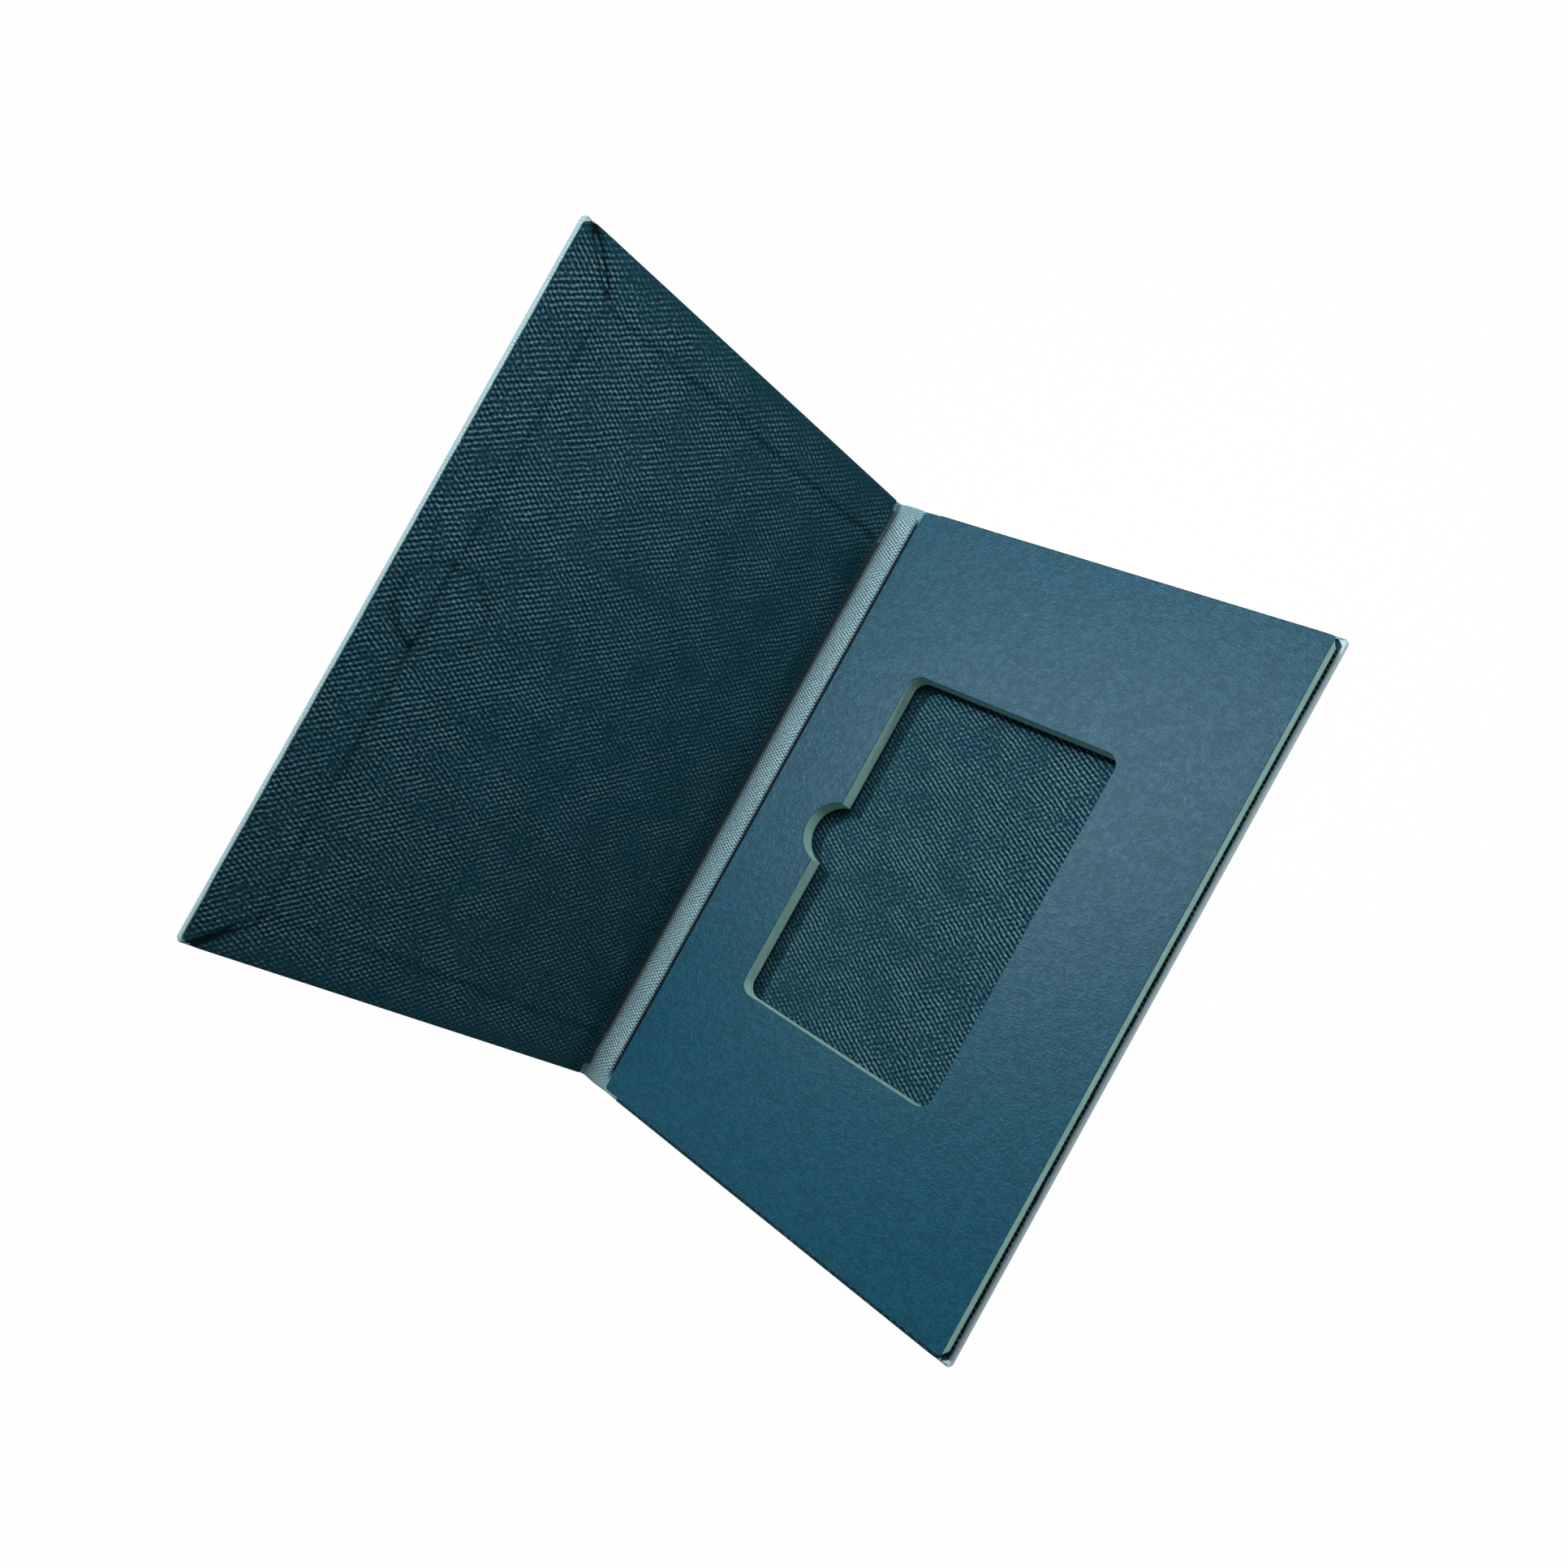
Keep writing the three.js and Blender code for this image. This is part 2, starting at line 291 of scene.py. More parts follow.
# %% Box, opened at the spine and rounded at its edges
def wrapped_box():
    """A box over base, joint and half the spine, open at the spine's middle, with rounded edges."""
    start_fresh()
    length = FREE_EDGE - SPINE_MIDDLE
    centre = (SPINE_MIDDLE + length / 2, 0, WRAP_TOP / 2)
    bpy.ops.mesh.primitive_cube_add(size=1, location=centre)
    piece = named("outer_cloth_base", (length, 2 * PANEL_END, WRAP_TOP))
    go_to("EDIT")
    pick("FACE", lambda middle, face: face.normal.x < -FACING_SHARE)
    bpy.ops.mesh.delete(type="FACE")
    pick("EDGE", lambda middle, edge: is_upright(edge) and middle.x > 0)
    bpy.ops.mesh.bevel(offset=CORNER_RADIUS, segments=BEVEL_STEPS, affect="EDGES")
    pick("EDGE", lambda middle, edge: not is_upright(edge) and not edge.is_boundary)
    bpy.ops.mesh.bevel(offset=EDGE_ROUNDING, segments=BEVEL_STEPS, affect="EDGES")
    print("box from the spine's middle:", round(length / MM, 2), "mm long")
    return piece


outer_cloth_base = wrapped_box()


# %% Border on the top, and rows of vertices to bend at
def cut_across(place, direction):
    """Cuts what is selected with a plane through a place, square to the direction."""
    bpy.ops.mesh.bisect(plane_co=place, plane_no=direction)


def open_the_top():
    """Leaves a turned-in border of cloth on the top and takes out the middle."""
    inner = (FREE_EDGE - TURN_IN, PANEL_END - TURN_IN)
    for place, direction in [((inner[0], 0, 0), (1, 0, 0)), ((0, inner[1], 0), (0, 1, 0)),
                             ((0, -inner[1], 0), (0, 1, 0))]:
        pick("FACE", lambda middle, face: faces_up(face))
        cut_across(place, direction)
    pick("FACE", lambda middle, face: faces_up(face) and abs(middle.y) < inner[1] and middle.x < inner[0])
    bpy.ops.mesh.delete(type="FACE")


def cut_bending_rows():
    """Adds columns of vertices over spine and joint, and rows near the edges, for the cloth to bend at."""
    crowned = np.linspace(SPINE_MIDDLE, SPINE_EDGE - BEND_MARGIN, CROWN_COLUMNS)[1:-1]
    bent = np.linspace(SPINE_EDGE - BEND_MARGIN, HINGE_EDGE + BEND_MARGIN, JOINT_COLUMNS)
    columns = [*crowned, *bent, *[FREE_EDGE - inset for inset in FREE_EDGE_COLUMNS]]
    rows = [side * (PANEL_END - inset) for inset in TURNED_ROWS for side in (-1, 1)]
    for x in columns:
        pick_all()
        cut_across((x, 0, 0), (1, 0, 0))
    for y in rows:
        pick_all()
        cut_across((0, y, 0), (0, 1, 0))


open_the_top()
cut_bending_rows()
go_to("OBJECT")
print("outer cloth:", count_triangles(outer_cloth_base), "triangles before it is thickened")


# %% Where the sheet lay on the cutting table
def cloth_on_table(points):
    """Where points of the wrapped sheet lay before it was folded up round the board."""
    x, y, z = points.T
    to_free = FREE_EDGE - x
    to_end = PANEL_END - np.abs(y)
    on_top = z > WRAP_TOP - EDGE_ROUNDING
    over_free = on_top & (to_free < to_end)
    over_end = on_top & ~over_free
    across = x + np.where(to_free < EDGE_ROUNDING, z, 0)
    across = np.where(over_free, FREE_EDGE + WRAP_TOP + to_free, across)
    along = y + np.where(to_end < EDGE_ROUNDING, z, 0) * np.sign(y)
    along = np.where(over_end, np.sign(y) * (PANEL_END + WRAP_TOP + to_end), along)
    return across, along


flat_points = points_of(outer_cloth_base)
across, along = cloth_on_table(flat_points)
lay_flat(outer_cloth_base, across, along)
print("flat, this half is", round(np.ptp(across) / MM, 1), "x", round(np.ptp(along) / MM, 1), "mm")


# %% Hinge groove, and the spine's crown
def press_the_joint(points):
    """Presses both layers of the sheet together where no board lies between them."""
    x, y, z = points.T
    depth = in_joint(x)
    bridge = WRAP_TOP - BRIDGE_DIP
    height = bridge + (JOINT_LAYERS - bridge) * groove_share(y)
    squeezed = z * (1 + depth * (height / WRAP_TOP - 1))
    lifted = JOINT_SINK * depth * (1 - z / WRAP_TOP) + crown_of_spine(x) * (z > WRAP_TOP / 2)
    return np.column_stack([x, y, squeezed + lifted])


move_points(outer_cloth_base, press_the_joint(flat_points))
print("both layers in the groove:", round(JOINT_LAYERS / MM, 2), "mm thick")

# %% [markdown]
# ## Outer cloth, cover half
# Base and cover are the same panel on the real object, one each side of the spine. The cover's half is
# therefore a copy of the base's half, mirrored about the middle of the spine while it is still flat, and
# then bent up at the cover's hinge. Mirroring turns the faces inside out, so they are flipped back.


# %% Copy and mirror the base's half
def own_copy(piece, name):
    """A copy of a piece with its own mesh."""
    work_on(piece)
    bpy.ops.object.duplicate(linked=False)
    copy = bpy.context.object
    copy.name = name
    copy.data.name = name
    return copy


def mirror_threads(piece):
    """Mirrors the stored flat places about the spine, so that the threads run on over it."""
    stored = piece.data.attributes["cloth_mm"].data
    flat = np.zeros(len(stored) * 3, dtype=np.float32)
    stored.foreach_get("vector", flat)
    flat[0::3] = 2 * SPINE_MIDDLE / MM - flat[0::3]
    stored.foreach_set("vector", flat)


def mirrored_over_spine(piece, name):
    """A copy of the base's half on the cover's side of the spine, still flat."""
    copy = own_copy(piece, name)
    points = points_of(copy)
    points[:, 0] = 2 * SPINE_MIDDLE - points[:, 0]
    move_points(copy, points)
    mirror_threads(copy)
    go_to("EDIT")
    pick_all()
    bpy.ops.mesh.flip_normals()
    go_to("OBJECT")
    return copy


outer_cloth_cover = mirrored_over_spine(outer_cloth_base, "outer_cloth_cover")
print("mirrored about x", round(SPINE_MIDDLE / MM, 2), "mm")

# %% Bend it up at the cover's hinge
BEND_START = 0.7 * MM
BEND_END = 0.6 * MM
# How dark the painted shade in the cover's crease is, and how wide it spreads on the turned-in outer cloth.
PAINTED_CREASE_SHADE = 0.9
TURNED_CREASE_WIDTH = 1.4 * MM


def turned_about_axis(points, angles):
    """Points turned up about the cover's hinge axis, each by its own angle."""
    x = points[:, 0] - COVER_AXIS.x
    z = points[:, 2] - COVER_AXIS.z
    turned_x = COVER_AXIS.x + x * np.cos(angles) + z * np.sin(angles)
    turned_z = COVER_AXIS.z - x * np.sin(angles) + z * np.cos(angles)
    return np.column_stack([turned_x, points[:, 1], turned_z])


def bend_up(piece):
    """Bends a flat piece of cloth up at the cover's hinge."""
    points = points_of(piece)
    share = rise(COVER_AXIS.x - points[:, 0], -BEND_START, BEND_END)
    move_points(piece, turned_about_axis(points, share * COVER_LEAN))


def painted_shade_in_cover_crease(points):
    """How much painted shade the turned-in cloth gets in the cover's crease, while the piece is still flat.
    """
    x, _, z = points.T
    return PAINTED_CREASE_SHADE * bump_at(x, COVER_AXIS.x, TURNED_CREASE_WIDTH) * (z > WRAP_TOP / 2)


mark_painted_shade(outer_cloth_cover, painted_shade_in_cover_crease(points_of(outer_cloth_cover)))
bend_up(outer_cloth_cover)
print("the cover's cloth now reaches", round(points_of(outer_cloth_cover)[:, 2].max() / MM, 1), "mm up")

# %% Thickness of both halves
for piece in (outer_cloth_base, outer_cloth_cover):
    finish_with(piece, "SOLIDIFY", thickness=CLOTH, offset=-1, use_even_offset=False)
    soften(piece)
    print(piece.name, count_triangles(piece), "triangles")

# %% [markdown]
# ## Inner hinge cloth
# A strip of the same light cloth covers the spine inside and is pasted on both panels under the linings. It
# dips into the gap beside the base, which is the dark line along the insert, deepened there by painted shade,
# and creases where the cover leans up, where painted shade darkens its colour too. The strip is drawn as a
# line in side view and extruded along it, one step at a time, as a sheet would be pressed into the gaps with
# a bone folder. It stops short of both ends, where the turned-in outer cloth shows.

# %% Sizes of the strip, from the base to the cover
STEP = 0.3 * MM
SAME_PLACE = STEP / 10
SMOOTHED_POINTS = 3
STRIP_ROWS = 110
STRIP_END_TOP = 2.7 * MM
STRIP_END_BOTTOM = 3 * MM
STRIP_LEVEL = WRAP_TOP + 0.02 * MM
UNDERSIDE = STRIP_LEVEL - CLOTH
OVER_TURN_IN = 0.13 * MM
TURN_IN_SLOPE = 1 * MM
LAP = 11 * MM
GROOVE_FLOOR = JOINT_LAYERS + 0.05 * MM
BASE_LIP = 0.3 * MM
BASE_LIP_DROP = 0.4 * MM
BASE_WALL = 0.8 * MM
SPINE_WALL = 0.5 * MM
SPINE_WALL_TOP = 0.05 * MM
SPINE_WALL_DROP = 0.6 * MM
SPINE_LIP = 0.5 * MM
SPINE_LIP_DROP = 0.1 * MM
SPINE_FLAT = 1 * MM
CREASE_DROP = 0.75 * MM
CREASE_FROM_SPINE = 1.5 * MM
CREASE_SHOULDER = 0.6 * MM
CREASE_SHOULDER_SHARE = 0.6
CREASE_HEEL = 0.1 * MM
CREASE_ALONG_COVER = 1.9 * MM
COVER_LIP = 0.6 * MM
COVER_LIP_DROP = 0.3 * MM
print("the strip goes", round(LAP / MM, 1), "mm under each lining")


# %% Line of the strip in side view
def on_cover(along, height):
    """A point in side view of the leaning cover, from its distance along it and its height in it."""
    flat = np.array([[COVER_AXIS.x - along, 0, height]])
    x, _, z = turned_about_axis(flat, np.array([COVER_LEAN]))[0]
    return (x, z)


def curve_through(corners):
    """Evenly spaced points of a smooth line through the corners, in side view."""
    corners = np.array(corners)
    runs = np.linalg.norm(np.diff(corners, axis=0), axis=1)
    places = np.concatenate([[0], np.cumsum(runs)])
    samples = np.arange(0, places[-1], STEP)
    straight = np.column_stack([np.interp(samples, places, corners[:, axis]) for axis in (0, 1)])
    window = np.ones(SMOOTHED_POINTS) / SMOOTHED_POINTS
    beyond = SMOOTHED_POINTS // 2
    padded = np.pad(straight, ((beyond, beyond), (0, 0)), mode="edge")
    smooth = np.column_stack([np.convolve(padded[:, axis], window, mode="valid") for axis in (0, 1)])
    smooth[0], smooth[-1] = corners[0], corners[-1]
    return smooth


BASE_LINE = [
    (HINGE_EDGE + LAP, UNDERSIDE),
    (HINGE_EDGE + BASE_LIP, UNDERSIDE),
    (HINGE_EDGE - BASE_LIP, UNDERSIDE - BASE_LIP_DROP),
    (HINGE_EDGE - BASE_WALL, GROOVE_FLOOR),
    (SPINE_EDGE + SPINE_WALL, GROOVE_FLOOR),
    (SPINE_EDGE - SPINE_WALL_TOP, UNDERSIDE - SPINE_WALL_DROP),
    (SPINE_EDGE - SPINE_LIP, UNDERSIDE - SPINE_LIP_DROP),
    (SPINE_EDGE - SPINE_FLAT, UNDERSIDE),
    (SPINE_MIDDLE, UNDERSIDE),
]
CREASE_X = spine_low.x - CREASE_FROM_SPINE
COVER_LINE = [
    (SPINE_MIDDLE, UNDERSIDE),
    (spine_low.x, UNDERSIDE),
    (CREASE_X + CREASE_SHOULDER, UNDERSIDE - CREASE_SHOULDER_SHARE * CREASE_DROP),
    (CREASE_X - CREASE_HEEL, UNDERSIDE - CREASE_DROP),
    on_cover(CREASE_ALONG_COVER - COVER_LIP, UNDERSIDE - COVER_LIP_DROP),
    on_cover(CREASE_ALONG_COVER, UNDERSIDE),
    on_cover(LAP, UNDERSIDE),
]
base_line = curve_through(BASE_LINE)
cover_line = curve_through(COVER_LINE)
print("points in the strip's line:", len(base_line), "and", len(cover_line))


# %% Extrude the strip along its line
def run_strip(name, line):
    """A sheet that follows a line in side view, between the two ends of the strip."""
    start_fresh()
    top = PANEL_END - STRIP_END_TOP
    bottom = -PANEL_END + STRIP_END_BOTTOM
    first, second = line[0], line[1]
    place = ((first[0] + second[0]) / 2, (top + bottom) / 2, first[1])
    bpy.ops.mesh.primitive_grid_add(x_subdivisions=1, y_subdivisions=STRIP_ROWS, size=1, location=place)
    piece = named(name, (abs(second[0] - first[0]), top - bottom, 1))
    go_to("EDIT")
    ahead = second[0]
    pick("EDGE", lambda middle, edge: abs(middle.x - ahead) < SAME_PLACE and edge.is_boundary)
    for here, there in zip(line[1:-1], line[2:]):
        step = (there[0] - here[0], 0, there[1] - here[1])
        bpy.ops.mesh.extrude_region_move(TRANSFORM_OT_translate={"value": step})
    pick_all()
    bpy.ops.mesh.normals_make_consistent(inside=False)
    go_to("OBJECT")
    if sum(face.normal.z for face in piece.data.polygons) < 0:
        piece.data.flip_normals()
    return piece


hinge_cloth_base = run_strip("hinge_cloth_base", base_line)
hinge_cloth_cover = run_strip("hinge_cloth_cover", cover_line)
print("hinge cloth:", count_triangles(hinge_cloth_base), count_triangles(hinge_cloth_cover), "triangles")

# %% [markdown]
# ## Life in the hinge cloth
# A pasted strip is never perfectly flat. It rises over the turned-in ends, the groove fades out near both
# ends of the folder, small ripples run across it, and a pucker stands in the cover's crease near one end.
# Each is a small move of the vertices, in code, because a formula keeps it smooth over thousands of points.


# %% How far along the strip a point is, and how high it rises
def length_along(line, points):
    """How far along the line each vertex of its strip is."""
    runs = np.concatenate([[0], np.cumsum(np.linalg.norm(np.diff(line, axis=0), axis=1))])
    gaps = (points[:, 0, None] - line[None, :, 0]) ** 2 + (points[:, 2, None] - line[None, :, 1]) ** 2
    return runs[gaps.argmin(axis=1)]


def over_turned_ends(y):
    """How far the strip rises where the turned-in outer cloth lies under it."""
    inner = PANEL_END - TURN_IN
    return OVER_TURN_IN * rise(np.abs(y), inner - TURN_IN_SLOPE, inner + TURN_IN_SLOPE)


# %% Shape both strips and give them their thickness
RIPPLE = 0.06 * MM
RIPPLE_PITCH = 5 * MM
RIPPLE_SEED = 1.5
# Depths in the groove, and runs either side of the cover's crease, over which the painted shade comes in.
GROOVE_DARK_FROM = 0.25 * MM
GROOVE_DARK_TO = 0.6 * MM
CREASE_DARK_BEFORE = 2.6 * MM
CREASE_DARK_AFTER = 0.8 * MM
PUCKER_FROM_END = 7.5 * MM
PUCKER_HALF_LENGTH = 3.2 * MM
PUCKER_HEIGHT = 0.6 * MM
PUCKER_HALF_WIDTH = 0.9 * MM


def fill_groove_at_ends(points):
    """Lifts the floor of the groove towards both ends of the strip."""
    x, y, z = points.T
    level = UNDERSIDE - BRIDGE_DIP * in_joint(x)
    lift = (level - z) * (1 - groove_share(y))
    return np.column_stack([x, y, z + np.where(in_joint(x) > 0, np.maximum(lift, 0), 0)])


def along_normals(piece, points, heights):
    """Points moved along the piece's own vertex normals."""
    normals = np.zeros(len(points) * 3)
    piece.data.vertices.foreach_get("normal", normals)
    return points + normals.reshape(-1, 3) * heights[:, None]


def enliven(piece, line, filled):
    """Shapes one strip, thickens it, stores where its threads lie and how much painted shade it gets."""
    points = points_of(piece)
    run = length_along(line, points)
    y = points[:, 1]
    heights = over_turned_ends(y) + RIPPLE * waver(run, y, RIPPLE_PITCH, RIPPLE_SEED)
    heights = heights + crown_of_spine(points[:, 0])
    from_crease = np.hypot(points[:, 0] - CREASE_X, points[:, 2] - STRIP_LEVEL + CREASE_DROP)
    # Painted shade: the colour is darkened deep in the groove beside the base, and on the cover's side of the
    # strip from its crease on.
    if filled:
        deep = rise(-points[:, 2], -STRIP_LEVEL + GROOVE_DARK_FROM, -STRIP_LEVEL + GROOVE_DARK_TO)
        painted_shade = deep * groove_share(y)
    else:
        crease_run = run[points[:, 2].argmin()]
        painted_shade = PAINTED_CREASE_SHADE * rise(run, crease_run - CREASE_DARK_BEFORE, crease_run + CREASE_DARK_AFTER)
        beside = bump_at(y, PUCKER_FROM_END - PANEL_END, PUCKER_HALF_LENGTH)
        heights = heights + PUCKER_HEIGHT * bump_at(from_crease, 0, PUCKER_HALF_WIDTH) * beside
    moved = along_normals(piece, points, heights)
    flat_side = run.max() - run if filled else -run
    lay_flat(piece, SPINE_MIDDLE + flat_side, y)
    mark_painted_shade(piece, painted_shade)
    move_points(piece, fill_groove_at_ends(moved) if filled else moved)
    finish_with(piece, "SOLIDIFY", thickness=CLOTH, offset=1, use_even_offset=False)
    soften(piece)


enliven(hinge_cloth_base, base_line, True)
enliven(hinge_cloth_cover, cover_line, False)
for piece in (hinge_cloth_base, hinge_cloth_cover):
    print(piece.name, count_triangles(piece), "triangles with its thickness")

# %% [markdown]
# ## Linings
# A dark woven lining is pasted over each panel and hides the raw edges of the turned-in cloth. What is under
# it shows through as relief: a step where the turn-in ends, a crease along each mitred corner, and the round
# print of the magnet. The lining's colour is darkened along these as painted shade. A fine grid takes that
# relief from one height formula, and its border is turned down.

# %% Sizes of what shows through a lining
LINING_CELL = 0.5 * MM
HIDDEN_CELL = 1.5 * MM
BASE_SETBACK = 0.78 * MM
COVER_SETBACK = 0.38 * MM
END_SETBACK = 0.12 * MM
HOLLOW = 0.18 * MM
HOLLOW_WIDTH = 0.6 * MM
BEAD = 0.12 * MM
BEAD_WIDTH = 0.8 * MM
EDGE_WOBBLE = 0.7 * MM
EDGE_WOBBLE_PITCH = 9 * MM
MITRE_OFFSET = 1.9 * MM
MITRE_DEPTH = 0.42 * MM
MITRE_WIDTH = 0.95 * MM
MITRE_FADE = 1.6 * MM
RING_RADIUS = 9.9 * MM
RING_DEPTH = 0.24 * MM
RING_WIDTH = 0.8 * MM
PLATEAU = 0.06 * MM
PATCH_PITCH = 7 * MM
PATCH_SHARE = 0.4
BORDER_DROP = 0.34 * MM
BORDER_WIDTH = 0.7 * MM
SWELL = 0.06 * MM
SWELL_PITCH = 17 * MM
# How strongly the mitre, the ring and the step darken the lining's colour, as painted shade in these hollows.
PAINTED_FOLD_SHADE = {"mitre": 1.55, "ring": 0.8, "step": 0.65}
SEEDS = {"wobble": 4.5, "patches": 9.5, "swell": 2.5, "trim": 3.5, "fray": 8.5}
LINING_FROM_HINGE = lining_low.x - HINGE_EDGE
disc_low, disc_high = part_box("base_keeper_disc")
DISC_X = (disc_low.x + disc_high.x) / 2
print("the discs' middles lie", round((FREE_EDGE - DISC_X) / MM, 1), "mm from the free edges")


# %% Relief of a lining, from what lies under it
def lining_shapes(x, y):
    """How strongly each thing under the lining shows at a place, on a panel lying like the base."""
    to_free = FREE_EDGE - x
    to_end = PANEL_END - np.abs(y)
    wobble = EDGE_WOBBLE * waver(x, y, EDGE_WOBBLE_PITCH, SEEDS["wobble"])
    to_edge = np.minimum(to_free, to_end) + wobble
    patchy = 1 - PATCH_SHARE + PATCH_SHARE * waver(x, y, PATCH_PITCH, SEEDS["patches"])
    off_mitre = (to_free - to_end - MITRE_OFFSET) / math.sqrt(2)
    in_corner = 1 - rise(np.maximum(to_free, to_end), TURN_IN - MITRE_FADE, TURN_IN + MITRE_FADE)
    from_disc = np.hypot(x - DISC_X, y)
    return {
        "turned": 1 - rise(to_edge, TURN_IN - HOLLOW_WIDTH, TURN_IN + HOLLOW_WIDTH),
        "step": bump_at(to_edge, TURN_IN, BEAD_WIDTH) * patchy,
        "mitre": bump_at(off_mitre, 0, MITRE_WIDTH) * in_corner,
        "ring": bump_at(from_disc, RING_RADIUS, RING_WIDTH) * patchy,
        "plateau": 1 - rise(from_disc, RING_RADIUS - RING_WIDTH, RING_RADIUS),
    }


def lining_relief(x, y, shapes, disc_share):
    """How far the lining stands above its lowest level."""
    height = HOLLOW * shapes["turned"] + BEAD * shapes["step"] - MITRE_DEPTH * shapes["mitre"]
    height = height + disc_share * (PLATEAU * shapes["plateau"] - RING_DEPTH * shapes["ring"])
    height = height + SWELL * waver(x, y, SWELL_PITCH, SEEDS["swell"])
    to_border = PANEL_END - np.abs(y) - END_SETBACK
    return height - BORDER_DROP * (1 - rise(to_border, 0, BORDER_WIDTH))


# %% Grid with that relief, trimmed as by hand
TRIM_FADE = 4 * MM
# The size, the pitch and the seed of each wobble of the scissors' cut.
TRIM_SIZES = [(0.12 * MM, 5 * MM, SEEDS["trim"]), (0.1 * MM, 1.6 * MM, SEEDS["fray"])]
CORNER_CUT = 1.7 * MM


def trimmed(x, y, setback):
    """The sheet's outline as cut by hand: wavy at the free edge and clipped at its corners."""
    near_edge = 1 - rise(FREE_EDGE - setback - x, 0, TRIM_FADE)
    for size, pitch, seed in TRIM_SIZES:
        x = x + near_edge * size * waver(y, x, pitch, seed)
    short = CORNER_CUT - (FREE_EDGE - setback - x) - (PANEL_END - END_SETBACK - np.abs(y))
    clip = np.maximum(short, 0) / 2
    return x - clip, y - np.sign(y) * clip


def lining(name, cell, setback, disc_share):
    """A lining over the base panel, with its relief and with its border turned down."""
    start_fresh()
    left = HINGE_EDGE + LINING_FROM_HINGE
    right = FREE_EDGE - setback
    length = 2 * (PANEL_END - END_SETBACK)
    columns = round((right - left) / cell)
    rows = round(length / cell)
    place = ((left + right) / 2, 0, LINING_TOP - HOLLOW)
    bpy.ops.mesh.primitive_grid_add(x_subdivisions=columns, y_subdivisions=rows, size=1, location=place)
    piece = named(name, (right - left, length, 1))
    points = points_of(piece)
    lay_flat(piece, points[:, 0], points[:, 1])
    x, y = trimmed(points[:, 0], points[:, 1], setback)
    shapes = lining_shapes(x, y)
    shapes["ring"] = shapes["ring"] * disc_share
    # Painted shade: the lining's colour is darkened along the mitre crease, the magnet's ring and the
    # turn-in's step.
    painted_shade = sum(PAINTED_FOLD_SHADE[fold] * shapes[fold] for fold in PAINTED_FOLD_SHADE)
    mark_painted_shade(piece, np.minimum(painted_shade, 1))
    z = points[:, 2] + lining_relief(x, y, shapes, disc_share)
    move_points(piece, np.column_stack([x, y, z]))
    return piece


lining_base = lining("lining_base", HIDDEN_CELL, BASE_SETBACK, disc_share=0)
lining_cover = lining("lining_cover", LINING_CELL, COVER_SETBACK, disc_share=1)
print("relief of the cover's lining:", round(np.ptp(points_of(lining_cover)[:, 2]) / MM, 2), "mm")


# %% Thickness of both linings, and the place of the cover's
def turn_border_down(piece):
    """Gives a lining its thickness: its border goes down by the cloth's thickness and is closed below."""
    work_on(piece)
    go_to("EDIT")
    bpy.ops.mesh.select_mode(type="EDGE")
    pick_all()
    bpy.ops.mesh.region_to_loop()
    down = (0, 0, -CLOTH)
    bpy.ops.mesh.extrude_region_move(TRANSFORM_OT_translate={"value": down})
    bpy.ops.mesh.edge_face_add()
    pick_all()
    bpy.ops.mesh.normals_make_consistent(inside=False)
    go_to("OBJECT")


for piece in (lining_base, lining_cover):
    turn_border_down(piece)
points = points_of(lining_cover)
points[:, 0] = 2 * SPINE_MIDDLE - points[:, 0]
mirror_threads(lining_cover)
move_points(lining_cover, turned_about_axis(points, np.full(len(points), COVER_LEAN)))
lining_cover.data.flip_normals()
for piece in (lining_base, lining_cover):
    soften(piece)
    print(piece.name, count_triangles(piece), "triangles")

# %% [markdown]
# ## Insert
# The insert is a sandwich that was die-cut in one stroke: a coloured top sheet, a thick pale core and a thin
# backing board. The CAD plates already have the exact window and notch. Only their edges are too sharp, so
# each is copied, its loose triangles are merged into clean faces, and its edges are rolled over as a cutting
# die leaves them. Normals weighted by area keep the smooth shading of the roll off the large flat faces.

# %% Copies of the plates with rolled edges
ROLLS = {"insert_face": 0.14 * MM, "insert_core": 0.12 * MM, "insert_backing": 0.1 * MM}
ROLL_STEPS = 3
MERGE_DISTANCE = 0.01 * MM
FLAT_ANGLE = math.radians(1)
SHARP_ANGLE = math.radians(57)
FLAT_FACE_WEIGHT = 100


def die_cut(node, name):
    """A copy of a CAD plate with soft edges."""
    piece = own_copy(frame["nodes"][node], name)
    piece.parent = None
    for key in [key for key in piece.keys() if key.startswith("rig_")]:
        del piece[key]
    bpy.ops.mesh.customdata_custom_splitnormals_clear()
    go_to("EDIT")
    pick_all()
    bpy.ops.mesh.remove_doubles(threshold=MERGE_DISTANCE)
    bpy.ops.mesh.dissolve_limited(angle_limit=FLAT_ANGLE)
    pick("EDGE", lambda middle, edge: not is_upright(edge) and edge.calc_face_angle(0) > SHARP_ANGLE)
    bpy.ops.mesh.bevel(offset=ROLLS[node], segments=ROLL_STEPS, affect="EDGES")
    go_to("OBJECT")
    soften(piece)
    finish_with(piece, "WEIGHTED_NORMAL", weight=FLAT_FACE_WEIGHT, keep_sharp=True)
    print(name, count_triangles(piece), "triangles")
    return piece


insert_sheet = die_cut("insert_face", "insert_sheet")
insert_block = die_cut("insert_core", "insert_block")
insert_foot = die_cut("insert_backing", "insert_foot")

# %% [markdown]
# ## Shader maths as Python
# A procedural material is mostly arithmetic on pattern values. Written as nodes one by one, it can't be
# read. This class wraps a socket so that plus, minus and times add their Math nodes, and one method adds any
# other node. Colours go through a Mix node, because a Math node would turn them grey.


